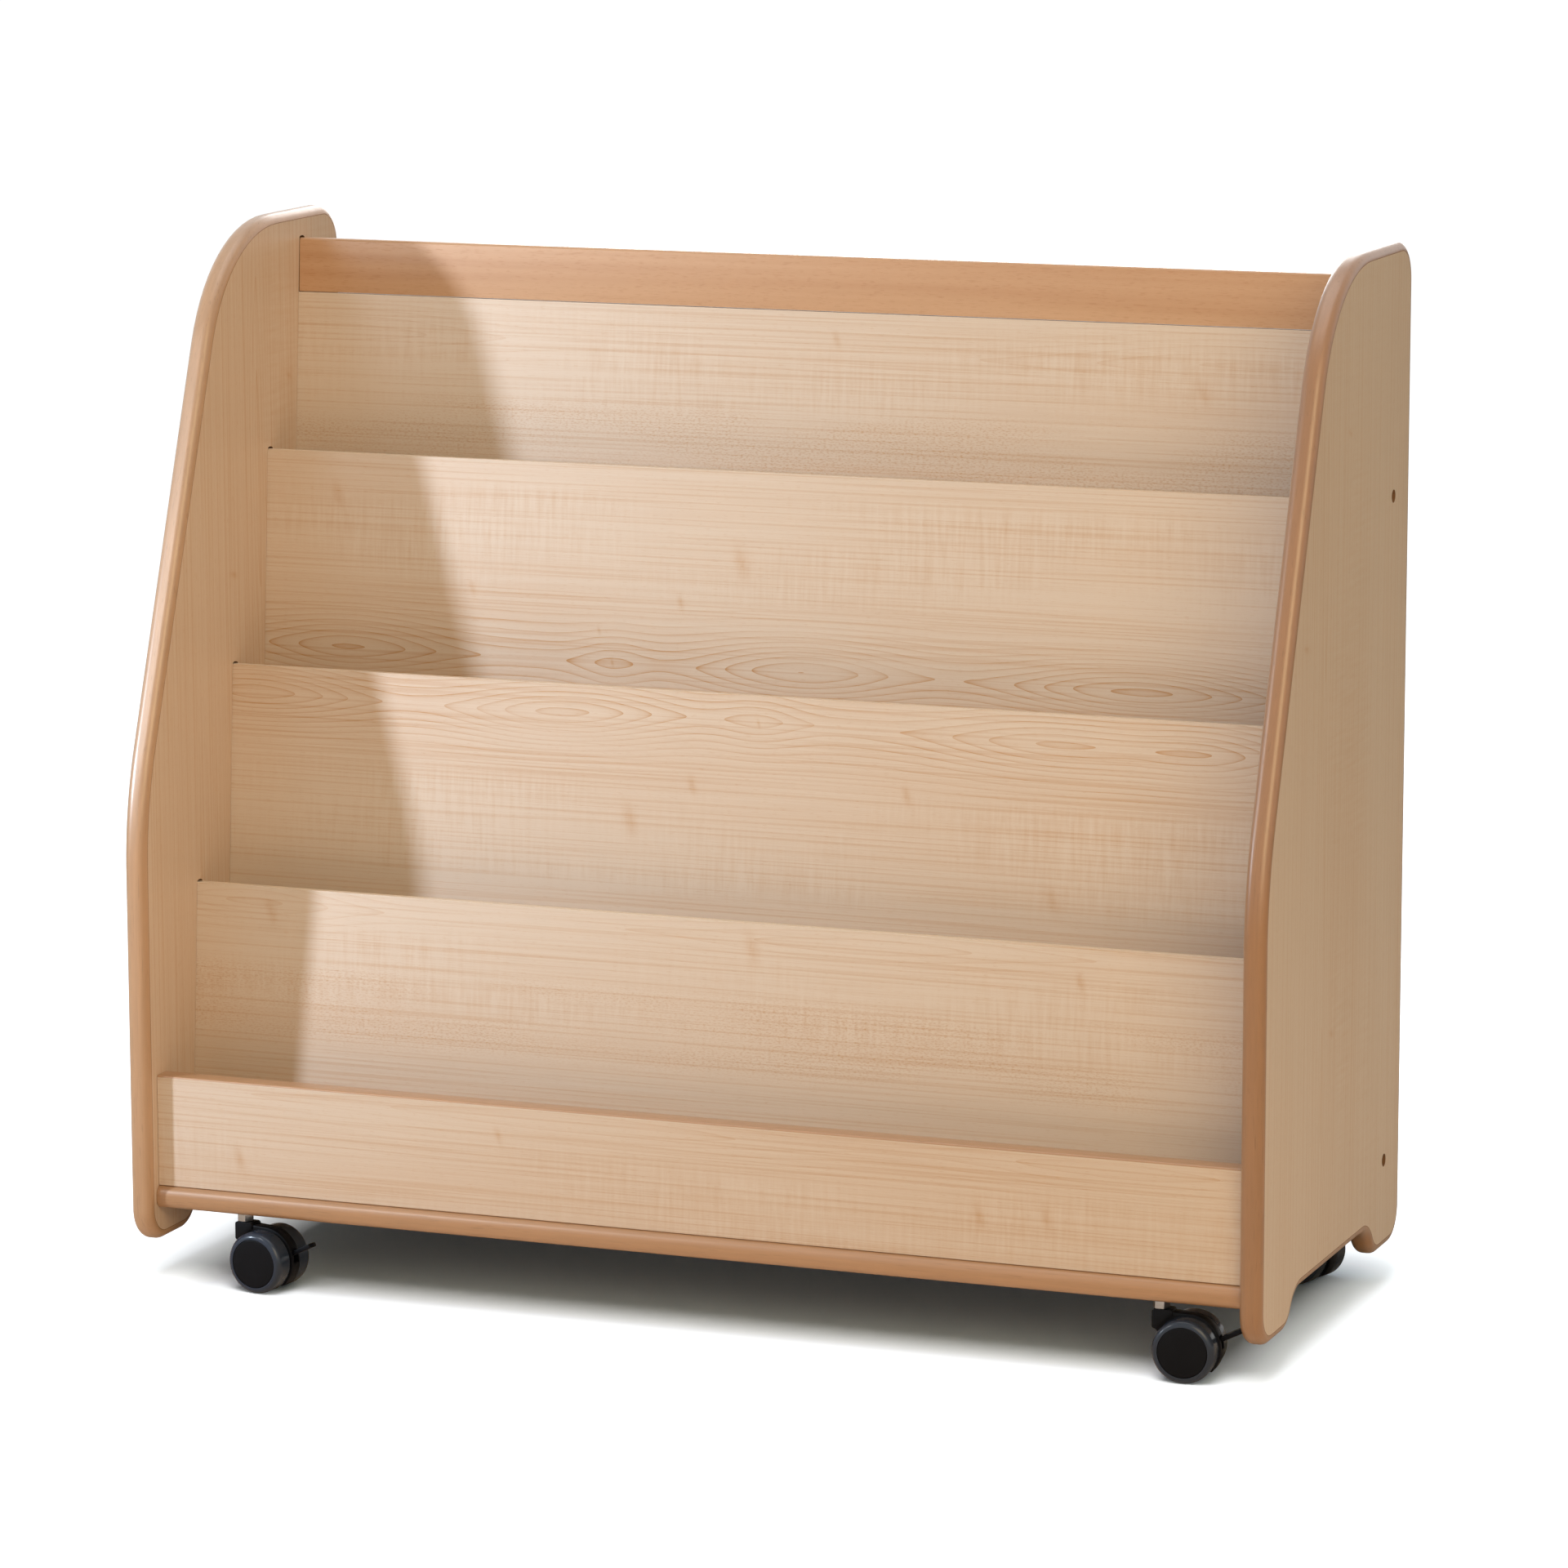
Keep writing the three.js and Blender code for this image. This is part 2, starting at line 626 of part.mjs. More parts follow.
// Tyre ring, rounded over from the tread to the hub on its outer side
function wheelTyre() {
  const inner = WHEEL_RADIUS - TYRE_DEPTH;
  const path = new THREE.Path();
  path.moveTo(inner, 0);
  path.lineTo(WHEEL_RADIUS - TYRE_INNER_ROUND, 0);
  path.lineTo(WHEEL_RADIUS, TYRE_INNER_ROUND);
  path.absarc(inner, WHEEL_WIDTH - TYRE_DEPTH, TYRE_DEPTH, 0, Math.PI / 2);
  path.lineTo(inner, 0);
  return lathe(path.getPoints(2));
}

function brakeLever() {
  const half = LEVER_TONGUE_THICK / 2;
  const overlap = LEVER_PEDAL_START + LEVER_THICK;
  const tongue = new THREE.Shape();
  tongue.absarc(0, 0, LEVER_HEAD_RADIUS, Math.PI / 4, 1.75 * Math.PI);
  tongue.lineTo(overlap, -half);
  tongue.lineTo(overlap, half);
  tongue.closePath();
  const pedal = boardSection(
    LEVER_PEDAL_START,
    -LEVER_THICK / 2,
    LEVER_LENGTH - LEVER_PEDAL_START,
    LEVER_THICK,
    WEB_CHAMFER,
  );
  const lever = join([
    acrossCastor(tongue, LEVER_TONGUE),
    acrossCastor(pedal, LEVER_WIDTH, { curveSegments: 1 }),
    rodAcross(LEVER_PIN_RADIUS, LEVER_TONGUE + 2 * LEVER_PIN_REACH, 0, 0),
  ]);
  lever.rotateY(-LEVER_RAISED);
  return lever.translate(leverPivot.x, 0, leverPivot.y);
}

function castorWheel(name, side) {
  const wheel = new THREE.Group();
  wheel.position.set(WHEEL_TRAIL, side * (WEB_THICK / 2 + WHEEL_GAP), axleHeight);
  wheel.rotation.z = side > 0 ? 0 : Math.PI;
  wheel.add(named(`${name}_hub`, wheelHub(), blackPlastic()));
  wheel.add(named(`${name}_tyre`, wheelTyre(), tyreRubber()));
  return wheel;
}

function castor(corner) {
  const braked = corner.startsWith('front');
  const group = new THREE.Group();
  const place = castorPlace(corner);
  group.position.set(place.x, place.y, 0);
  group.rotation.z = CASTOR_TURN[corner];
  group.add(named(`${corner}_insert`, threadedInsert(), steel()));
  group.add(named(`${corner}_stem`, castorStem(), steel()));
  group.add(named(`${corner}_housing`, castorHousing(braked), blackPlastic()));
  group.add(named(`${corner}_axle`, axlePin(), steel()));
  group.add(castorWheel(`${corner}_near_wheel`, -1));
  group.add(castorWheel(`${corner}_far_wheel`, 1));
  if (braked) {
    group.add(named(`${corner}_brake_lever`, brakeLever(), blackPlastic()));
  }
  return group;
}

// Assembly
const ledges = ledgePlaces();
const tierFeet = [...ledges.map((ledge) => ledge.top), baseTop];
const railDowels = railDowelPlaces();
const lipDowels = lipDowelPlaces();
const baseDowels = baseDowelPlaces();
const dowelPlaces = [...railDowels, ...lipDowels, ...baseDowels];

const group = new THREE.Group();
group.add(named('left_side_panel', sidePanel(-1), board()));
group.add(named('right_side_panel', sidePanel(1), board()));
group.add(named('top_rail', topRail(), beech()));
tiers.forEach((tier, i) => group.add(named(`tier_panel_${i + 1}`, tierPanel(i), board())));
ledges.forEach((ledge, i) => group.add(named(`ledge_${i + 1}`, ledgeBoard(ledge), board())));
group.add(named('base_shelf', baseShelf(), board()));
group.add(named('front_lip', frontLip(), board()));
for (const side of [-1, 1]) {
  dowelPlaces.forEach((place) => group.add(dowel(side, place)));
}
Object.keys(CASTOR_TURN).forEach((corner) => group.add(castor(corner)));

export default group;
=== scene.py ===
"""Mobile picture book display: fine boards, castors, finishes and stage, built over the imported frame."""

import math
from functools import partial

import bmesh
import bpy
from mathutils import Matrix, Vector


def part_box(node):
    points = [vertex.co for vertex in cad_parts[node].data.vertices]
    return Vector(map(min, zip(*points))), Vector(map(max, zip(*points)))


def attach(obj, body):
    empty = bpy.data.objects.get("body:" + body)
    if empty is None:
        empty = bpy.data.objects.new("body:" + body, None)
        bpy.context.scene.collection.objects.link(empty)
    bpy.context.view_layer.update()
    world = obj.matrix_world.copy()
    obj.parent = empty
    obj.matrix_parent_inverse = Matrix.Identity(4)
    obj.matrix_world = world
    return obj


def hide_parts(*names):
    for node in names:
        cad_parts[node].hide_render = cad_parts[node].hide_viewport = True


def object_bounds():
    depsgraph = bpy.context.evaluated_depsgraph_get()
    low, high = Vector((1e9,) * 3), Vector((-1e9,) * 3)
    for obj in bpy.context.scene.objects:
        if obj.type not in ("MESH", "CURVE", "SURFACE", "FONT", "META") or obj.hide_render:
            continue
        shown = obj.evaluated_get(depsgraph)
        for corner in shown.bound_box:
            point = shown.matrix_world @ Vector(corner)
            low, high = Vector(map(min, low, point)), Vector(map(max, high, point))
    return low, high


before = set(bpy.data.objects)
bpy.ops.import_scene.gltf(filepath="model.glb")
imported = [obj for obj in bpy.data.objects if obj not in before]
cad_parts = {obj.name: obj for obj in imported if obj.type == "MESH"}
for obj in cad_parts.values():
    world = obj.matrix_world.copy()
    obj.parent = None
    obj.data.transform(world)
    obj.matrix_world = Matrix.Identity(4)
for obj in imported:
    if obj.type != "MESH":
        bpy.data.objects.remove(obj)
cad_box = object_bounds()

bl_info = {
    "name": "Picture Book Display",
    "version": (1, 0, 0),
    "blender": (4, 5, 0),
    "location": "3D View > Sidebar > Book Display",
    "description": "Builds the boards, castors, finishes and stage of a picture book display",
    "category": "Object",
}

MM = 0.001
CORNERS = ("front_left", "front_right", "rear_left", "rear_right")
TIERS = (1, 2, 3, 4)
LEDGES = (1, 2, 3)
SHARP_ANGLE = math.radians(32)
QUARTER = math.pi / 2
FULL_TURN = 2 * math.pi
ARC_STEPS = 14
FLOOR_HALF = 30.0
SENSOR_WIDTH = 36.0
BLACK = ["moulded_black"]
ZINC = ["plated_zinc"]

# Finish numbers on a side panel
FACE, SEAM, EDGE, RAW = range(4)

# How far a cutter stands past the board that it cuts
CUT_PAST = 0.01

# Lengths below which a point is on the axis, or two points are one
ON_AXIS = 1e-9
SAME_SPOT = 1e-7


def length(name, millimetres, description):
    """A length property, given in millimetres and kept in metres."""
    return bpy.props.FloatProperty(
        name=name, description=description, default=millimetres * MM, precision=5,
        subtype="DISTANCE", unit="LENGTH",
    )


def angle(name, degrees, description):
    """An angle property, given in degrees and kept in radians."""
    return bpy.props.FloatProperty(
        name=name, description=description, default=math.radians(degrees),
        subtype="ANGLE", unit="ROTATION",
    )


def colour(name, rgb, description):
    """A colour property, given as display values from 0 to 255."""
    return bpy.props.FloatVectorProperty(
        name=name, description=description, default=[linear(c / 255) for c in rgb],
        subtype="COLOR", size=3, min=0.0, max=1.0,
    )


def amount(name, value, description):
    """A plain number property."""
    return bpy.props.FloatProperty(name=name, description=description, default=value)


def position(name, metres, description):
    """A place property in metres."""
    return bpy.props.FloatVectorProperty(
        name=name, description=description, default=metres, subtype="TRANSLATION", unit="LENGTH",
    )


def linear(display):
    """Display value of a colour channel to linear light."""
    return display / 12.92 if display <= 0.04045 else ((display + 0.055) / 1.055) ** 2.4


class BoardSizes(bpy.types.PropertyGroup):
    """Sizes of the boards that the node boxes don't give."""

    edge_round: length("Edge round", 7, "Radius on the edges of the 18 mm boards")
    seam: length("Seam", 0.45, "Width of the line where the veneer meets the lacquered edge")
    arris: length("Arris", 0.45, "Radius on the arrises of the thin boards")
    tier_board: length("Tier board", 9, "Thickness of tiers and ledges")
    lean: angle("Lean", 4, "Lean of the tiers from upright")
    groove_depth: length("Groove depth", 5, "Depth of the grooves in the side panels")
    groove_play: length("Groove play", 0.3, "Room round a board in its groove")
    groove_overrun: length("Groove overrun", 4, "How far a groove runs past its board")
    groove_crown: length("Groove crown", 1.7, "Height of a groove's round end over the board in it")
    rail_height: length("Rail height", 44, "Height of the top rail along its lean")
    rail_ease: length("Rail ease", 2, "Radius on the arrises of the top rail")
    rail_thick: length("Rail thickness", 20, "Thickness of the top rail")
    lip_ease: length("Lip ease", 1.5, "Radius on the arrises of the front lip")


class OutlineSizes(bpy.types.PropertyGroup):
    """Sizes of the side panels' routed outline."""

    knee_height: length("Knee height", 334, "Height where the front edge starts to curve back")
    knee_radius: length("Knee radius", 285, "Radius of the curve in the front edge")
    slant: angle("Slant", 20.4, "Slant of the upper front edge from upright")
    crown_radius: length("Crown radius", 138, "Radius from the slant to the top")
    back_corner: length("Back corner", 32, "Radius of the top corner at the back")
    foot_corner: length("Foot corner", 28, "Radius of the outer corners of the feet")
    foot_length: length("Foot length", 60, "Length of each foot")
    sweep_radius: length("Sweep radius", 28, "Radius of the curves from foot to arch")
    arch_height: length("Arch height", 58, "Height of the arch between the feet above the floor")
    hole_radius: length("Link hole radius", 5.2, "Radius of the holes that link two units")
    hole_inset: length("Link hole inset", 48, "Link holes from the back of the panel")
    upper_hole: length("Upper link hole", 636.5, "Height of the upper link hole")
    lower_hole: length("Lower link hole", 106, "Height of the lower link hole")


class CastorSizes(bpy.types.PropertyGroup):
    """Sizes of the twin-wheel castors."""

    wheel_radius: length("Wheel radius", 24.69, "Radius of the tread")
    wheel_width: length("Wheel width", 17, "Width of one wheel")
    wheel_gap: length("Wheel gap", 0.5, "Running gap between wheel and web")
    tyre_depth: length("Tyre depth", 5, "Depth of the tyre over the hub")
    tyre_inner_round: length("Tyre inner round", 1.8, "Radius on the tread's inner edge")
    hub_gap: length("Hub gap", 0.3, "Gap between hub and tyre")
    hub_round: length("Hub round", 0.7, "Radius on the rim of the hub's face")
    hub_cap: length("Hub cap", 4, "Thickness of the hub outside the axle's end")
    axle_radius: length("Axle radius", 3.1, "Radius of the axle's bore")
    web_thick: length("Web thickness", 11, "Thickness of the housing between the wheels")
    web_over_wheel: length("Web over wheel", 1.3, "How far the web stands over the tread")
    web_round: length("Web round", 0.8, "Radius on the housing's arrises")
    boss_radius: length("Boss radius", 11, "Radius of the housing round the axle")
    skirt: angle("Skirt", -45, "Where the housing's skirt ends behind the wheel")
    head_front: length("Head front", 6, "Housing's head in front of the stem's axis")
    head_rear: length("Head rear", 10, "Housing's head behind the stem's axis")
    head_width: length("Head width", 13, "Width of the housing's head")
    head_round: length("Head round", 2, "Radius on the upright arrises of the housing's head")
    head_drop: length("Head drop", 15, "Height of the housing's head")
    head_wall: length("Head wall", 1.6, "Step from the head to the web")
    head_top: length("Head top", 52.7, "Height of the head's top above the floor")
    head_room: length("Head room", 0.2, "Room between the head and the rim of the web")
    bore_radius: length("Swivel bore", 3.95, "Radius of the bore for the stem's pin")
    bore_depth: length("Swivel bore depth", 14, "Depth of the bore for the stem's pin")
    flange_radius: length("Flange radius", 8.5, "Radius of the stem's flange")
    flange: length("Flange", 1.5, "Thickness of the stem's flange")
    hex_height: length("Hexagon height", 6.2, "Height of the stem's hexagon")
    hex_flats: length("Hexagon flats", 12, "Distance across the hexagon's flats")
    hex_gap: length("Hexagon gap", 0.3, "Gap between the housing's head and the hexagon")
    hex_round: length("Hexagon round", 0.35, "Radius on the hexagon's arrises")
    thread_radius: length("Thread radius", 5, "Radius of the stem's thread")
    pin_radius: length("Pin radius", 3.8, "Radius of the stem's swivel pin")


class LeverSizes(bpy.types.PropertyGroup):
    """Sizes of the brake levers on the front castors."""

    pivot_out: length("Pivot from axle", 13, "Pivot of the lever behind the axle")
    pivot_up: length("Pivot above axle", 1.2, "Pivot of the lever above the axle")
    reach: length("Length", 32, "Length of the lever from its pivot")
    thick: length("Thickness", 3.5, "Thickness of the pedal")
    width: length("Width", 10, "Width of the pedal")
    tongue: length("Tongue", 6, "Width of the tongue in the housing")
    tongue_thick: length("Tongue thickness", 2.6, "Thickness of the tongue")
    head_radius: length("Head radius", 2.6, "Radius of the tongue round the pivot")
    pin_radius: length("Pin radius", 1.6, "Radius of the pivot pins")
    pin_reach: length("Pin reach", 1.6, "Length of each pivot pin")
    play: length("Play", 0.3, "Room round the tongue and pins")
    pedal_start: length("Pedal start", 15, "Where the pedal starts, from the pivot")
    raised: angle("Raised", 27, "Angle of the lever at rest")
    travel: angle("Travel", 22, "How far the lever is pressed")


class FinishColours(bpy.types.PropertyGroup):
    """Colours of the finishes."""

    maple_pale: colour("Maple, pale", (222, 205, 190), "Clear maple veneer between the growth lines")
    maple_line: colour("Maple, line", (193, 146, 98), "Growth lines and flecks of the maple veneer")
    edge: colour("Edge", (189, 145, 108), "Lacquered solid edges of the level boards")
    # The side panels' edges are one lacquer: the left colour is paler by painted light from the key at the
    # front left, the right colour darker by painted shade.
    edge_left: colour("Left edge", (198, 157, 122), "Lacquered solid edge of the left panel")
    edge_right: colour("Right edge", (171, 127, 91), "Lacquered solid edge of the right panel")
    edge_depth: amount("Edge depth", 0.58, "Share of light thrown back by the edges' pores")
    lipping: colour("Lipping", (240, 220, 194), "Pale lipping on the tiers' top edges")
    lipping_dark: colour("Lipping, dark", (216, 190, 158), "Pores of the pale lipping")
    # The seam colour also paints the shade of the gap under the rail, on tier 1's top edge.
    seam: colour("Seam", (160, 120, 88), "Line between veneer and edge")
    groove: colour("Groove", (120, 82, 54), "Raw board inside grooves and holes")
    beech: colour("Beech", (212, 172, 138), "Solid beech of the rail")
    beech_fleck: colour("Beech fleck", (182, 132, 94), "Flecks and lines of the beech")
    castor: colour("Castor", (9, 11, 16), "Moulded black of hubs, housings and levers")
    castor_worn: colour("Castor, worn", (21, 24, 31), "Scuffed black on the castors")
    tyre: colour("Tyre", (43, 53, 70), "Slate tyre")
    tyre_worn: colour("Tyre, worn", (55, 65, 82), "Dusty tread of the tyre")
    steel: colour("Steel", (204, 206, 210), "Zinc plate")
    steel_dull: colour("Steel, dull", (150, 154, 160), "Dull patches of the zinc plate")
    floor: colour("Floor", (195, 222, 255), "Studio floor")


class StageSettings(bpy.types.PropertyGroup):
    """Camera and light."""

    lens: amount("Lens", 148.209, "Focal length for a 36 mm sensor")
    azimuth: angle("Azimuth", 21.0652, "Camera's turn to the right of the front")
    elevation: angle("Elevation", 10.241, "Camera's look down")
    roll: angle("Roll", -0.1153, "Camera's roll")
    place: position("Place", (1.8176695, -4.6767883, 1.3099639), "Where the camera stands")
    key_power: amount("Key", 113, "Power of the key light in watts")
    key_tint: colour("Key tint", (224, 239, 255), "Tint of the key light")
    key_radius: length("Key radius", 70, "Radius of the key light")
    key_place: position("Key place", (-1.65, -1.22, 0.84), "Where the key light stands")
    key_aim: position("Key aim", (-0.58, 0.05, 0.47), "Where the key light's beam goes")
    key_beam: angle("Key beam", 60, "Width of the key light's beam")
    key_fade: amount("Key fade", 1.0, "Share of the beam over which it fades to its rim")
    fill_power: amount("Fill", 34.3, "Power of the softbox at the front right in watts")
    fill_size: length("Fill size", 1700, "Side of the softbox at the front right")
    fill_distance: length("Fill distance", 3000, "Distance of the softbox at the front right")
    fill_azimuth: angle("Fill azimuth", 40, "Front right softbox's turn from the front")
    fill_elevation: angle("Fill elevation", 24, "Front right softbox's height over the horizon")
    fill_tint: colour("Fill tint", (255, 228, 178), "Warmth of the softbox at the front right")
    gloss_power: amount("Gloss", 4, "Power of the small softbox that shows in gloss alone")
    gloss_size: length("Gloss size", 350, "Side of the small softbox that shows in gloss alone")
    gloss_place: position("Gloss place", (-0.98, -1.31, 1.21), "Where the small softbox stands")
    rear_power: amount("Rear", 30, "Power of the softbox behind the part in watts")
    rear_size: length("Rear size", 1700, "Side of the softbox behind the part")
    rear_distance: length("Rear distance", 3000, "Distance of the softbox behind the part")
    rear_azimuth: angle("Rear azimuth", 192, "Rear softbox's turn from the front")
    rear_elevation: angle("Rear elevation", 20, "Rear softbox's height over the horizon")
    top_power: amount("Top", 20, "Power of the overhead softbox in watts")
    top_size: length("Top size", 2200, "Side of the overhead softbox")
    top_height: length("Top height", 2600, "Height of the overhead softbox")
    floor_power: amount("Floor light", 152, "Power of the softbox that lights the floor alone")
    floor_tint: colour("Floor light tint", (255, 223, 195), "Warmth of the softbox that lights the floor")
    floor_size: length("Floor light size", 2000, "Side of the softbox that lights the floor alone")
    floor_distance: length("Floor light distance", 2700, "Distance of the floor's softbox")
    floor_azimuth: angle("Floor light azimuth", 8, "Floor softbox's turn from the front")
    floor_elevation: angle("Floor light elevation", 55, "Floor softbox's height over the horizon")
    ambient: amount("Ambient", 0.27, "Strength of the surrounding light")
    ambient_tint: colour("Ambient tint", (255, 240, 210), "Warmth of the surrounding light")
    floor_bounce: amount("Floor bounce", 0.38, "Share of light that the floor throws back at the part")
    # The floor's glow is painted light; it reaches in under the part's ends and front and lightens the cast
    # shadow there.
    floor_glow: amount("Floor glow", 0.9, "Light added to the far floor so that it meets the white surround")
    glow_ends: length("Glow ends", 60, "How far inside the part's ends the floor's glow starts")
    glow_front: length("Glow front", 28, "How far inside the part's front the floor's glow starts")
    glow_width: length("Glow width", 105, "Distance over which the glow rises")


class BookDisplay(bpy.types.PropertyGroup):
    """All settings of the display."""

    boards: bpy.props.PointerProperty(type=BoardSizes, name="Boards", description="Board sizes")
    outline: bpy.props.PointerProperty(type=OutlineSizes, name="Outline", description="Panel outline")
    castor: bpy.props.PointerProperty(type=CastorSizes, name="Castor", description="Castor sizes")
    lever: bpy.props.PointerProperty(type=LeverSizes, name="Lever", description="Brake lever sizes")
    colours: bpy.props.PointerProperty(type=FinishColours, name="Colours", description="Finish colours")
    stage: bpy.props.PointerProperty(type=StageSettings, name="Stage", description="Camera and light")


# Shader arithmetic


def plug(tree, entry, value):
    """Links a term to an input, or sets the input's own value."""
    if isinstance(value, Term):
        tree.links.new(value.socket, entry)
    else:
        entry.default_value = value


class Term:
    """A shader output that takes part in arithmetic; each step adds a Math node."""

    def __init__(self, tree, socket):
        self.tree = tree
        self.socket = socket

    def math(self, operation, *others, first=None, clamp=False):
        """A Math node on this term and the others; first is a value that stands before the term."""
        node = self.tree.nodes.new("ShaderNodeMath")
        node.operation = operation
        node.use_clamp = clamp
        values = (self, *others) if first is None else (first, self)
        for entry, value in zip(node.inputs, values):
            plug(self.tree, entry, value)
        return Term(self.tree, node.outputs[0])

    def __add__(self, other):
        return self.math("ADD", other)

    def __radd__(self, other):
        return self.math("ADD", first=other)

    def __sub__(self, other):
        return self.math("SUBTRACT", other)

    def __rsub__(self, other):
        return self.math("SUBTRACT", first=other)

    def __mul__(self, other):
        return self.math("MULTIPLY", other)

    def __rmul__(self, other):
        return self.math("MULTIPLY", first=other)

    def __truediv__(self, other):
        return self.math("DIVIDE", other)

    def __rtruediv__(self, other):
        return self.math("DIVIDE", first=other)

    def __pow__(self, other):
        return self.math("POWER", other)

    def __neg__(self):
        return self.math("MULTIPLY", -1.0)

    def __abs__(self):
        return self.math("ABSOLUTE")

    def fract(self):
        return self.math("FRACT")

    def root(self):
        return self.math("SQRT")

    def clamped(self):
        return self.math("ADD", 0.0, clamp=True)

    def above(self, threshold, width):
        """Rises from 0 to 1 as the term passes a threshold."""
        return ((self - threshold) / width).clamped()


class Finish:
    """A material in the making: its principled shader and the nodes that feed it."""

    def __init__(self, name, roughness, specular=0.5):
        self.material = bpy.data.materials.new(name)
        self.material.use_nodes = True
        self.tree = self.material.node_tree
        self.tree.nodes.clear()
        self.shader = self.tree.nodes.new("ShaderNodeBsdfPrincipled")
        output = self.tree.nodes.new("ShaderNodeOutputMaterial")
        self.tree.links.new(self.shader.outputs[0], output.inputs["Surface"])
        self.feed("Roughness", roughness)
        self.feed("Specular IOR Level", specular)

    def feed(self, entry, value):
        plug(self.tree, self.shader.inputs[entry], value)

    def node(self, kind, values=None, output=0, **settings):
        """A node of a kind: its settings first, then the values or links of its inputs."""
        made = self.tree.nodes.new(kind)
        for key, value in settings.items():
            setattr(made, key, value)
        for key, value in (values or {}).items():
            plug(self.tree, made.inputs[key], value)
        return Term(self.tree, made.outputs[output])

    def place(self):
        """The piece's own coordinates in metres, as three terms."""
        spot = self.node("ShaderNodeTexCoord", output="Object")
        return [self.node("ShaderNodeSeparateXYZ", {"Vector": spot}, output=i) for i in range(3)]

    def noise(self, x, y, z, detail=2.0, rough=0.5):
        vector = self.node("ShaderNodeCombineXYZ", {"X": x, "Y": y, "Z": z})
        values = {"Vector": vector, "Scale": 1.0, "Detail": detail, "Roughness": rough}
        return self.node("ShaderNodeTexNoise", values, noise_dimensions="3D")

    def mix(self, first, second, factor):
        values = {0: factor, 6: first, 7: second}
        return self.node("ShaderNodeMix", values, output=2, data_type="RGBA")

    def bump(self, height, strength, distance):
        values = {"Height": height, "Strength": strength, "Distance": distance}
        self.feed("Normal", self.node("ShaderNodeBump", values, output="Normal"))


def rgba(value):
    """A colour property as four numbers."""
    return (*value, 1.0)


def palette():
    """The colours of the finishes."""
    return bpy.context.scene.book_display.colours


# Finishes


def wood_fibres(finish, along, across, seed):
    """Fine fibre streaks with thin growth lines, and pore flecks."""
    fibre = finish.noise(along * 7.0, across * 800.0, seed, 3.0, 0.6) - 0.5
    lines = finish.noise(along * 1.6, across * 170.0, seed + 1.0, 2.0) - 0.5
    thin = finish.noise(along * 2.4, across * 430.0, seed + 2.0, 1.0).above(0.54, 0.08) - 0.3
    pore = finish.noise(along * 130.0, across * 1500.0, seed + 3.0, 1.0).above(0.62, 0.1)
    return fibre + lines * 0.6 + thin * 0.5, pore


def within(across, zone):
    """One inside a zone given by its middle, half width and soft margin, and zero away from it."""
    middle, half, margin = zone
    return 1.0 - abs(across - middle).above(half, margin)


def ripple(finish, along, across, zone, seed):
    """Cross ripple of curly grain: short upright streaks that come and go along the board."""
    streak = finish.noise(along * 240.0, across * 20.0, seed + 7.0, 2.0, 0.6) - 0.5
    patch = finish.noise(along * 5.0, across * 14.0, seed + 11.0, 1.0).above(0.36, 0.25)
    return streak * patch * within(across, zone)


def ray_fleck(finish, along, across, zone, seed):
    """Rows of short dashes where the rays are cut lengthwise."""
    dash = finish.noise(along * 380.0, across * 1000.0, seed + 17.0, 1.0).above(0.5, 0.14)
    patch = finish.noise(along * 6.0, across * 24.0, seed + 19.0, 1.0).above(0.34, 0.2)
    return dash * patch * within(across, zone)


def eye_bumps(along, eyes):
    """Sum of rounded bumps along the heart line, each a (place, half length, number of rings)."""
    total = None
    for place, half, rings in eyes:
        offset = (along - place) / half
        bump = (-(offset * offset)).math("EXPONENT") * rings
        total = bump if total is None else total + bump
    return total


def crown_figure(finish, along, across, grain, seed):
    """Crown-cut growth lines: closed eyes along the heart line, long lines beside it, fading outwards."""
    sway = finish.noise(along * 2.1, across * 4.0, seed, 1.0) - 0.5
    wave = finish.noise(along * 13.0, across * 46.0, seed + 5.0, 3.0) - 0.5
    offset = (across - grain["heart"] + sway * 0.016) / grain["ring"]
    near = (offset * offset * -grain["narrow"]).math("EXPONENT")
    height = (offset * offset + 0.1).root() + wave * 0.5 - eye_bumps(along, grain["eyes"]) * near
    ring = height.fract()
    line = ring ** 9.0 + ring * ring * 0.35
    strength = finish.noise(along * 4.0, across * 30.0, seed + 9.0, 1.0).above(0.1, 0.4)
    return line * strength * (0.35 + near * 0.65) * within(across, grain["crown_zone"])


def paw_marks(finish, along, across, marks, seed):
    """Small ragged marks where buds once grew, each a (place along, place across, half height)."""
    ragged = finish.noise(along * 320.0, across * 90.0, seed + 23.0, 3.0, 0.6) + 0.2
    total = None
    for place, height, half in marks:
        side = (along - place + (across - height) * 0.25) / (half * 0.45)
        rise = (across - height) / half
        spot = (-(side * side + rise * rise)).math("EXPONENT")
        total = spot if total is None else total + spot
    return total * ragged


GRAIN = {
    "heart": 0.0, "ring": 0.0075, "narrow": 0.07, "depth": 0.13, "fibre": 0.44,
    "figure": 0.66, "ripple": 0.65, "fleck": 0.3, "paw": 0.42, "pore": 0.2, "tone": 0.5,
    "eyes": ((-0.3, 0.06, 3.0), (0.05, 0.08, 4.0), (0.33, 0.07, 3.0)),
    "marks": ((-0.2, 0.0, 0.006),),
    "crown_zone": (0.0, 0.04, 0.03), "ripple_zone": (0.0, 0.2, 0.1), "fleck_zone": (1.0, 0.02, 0.02),
}


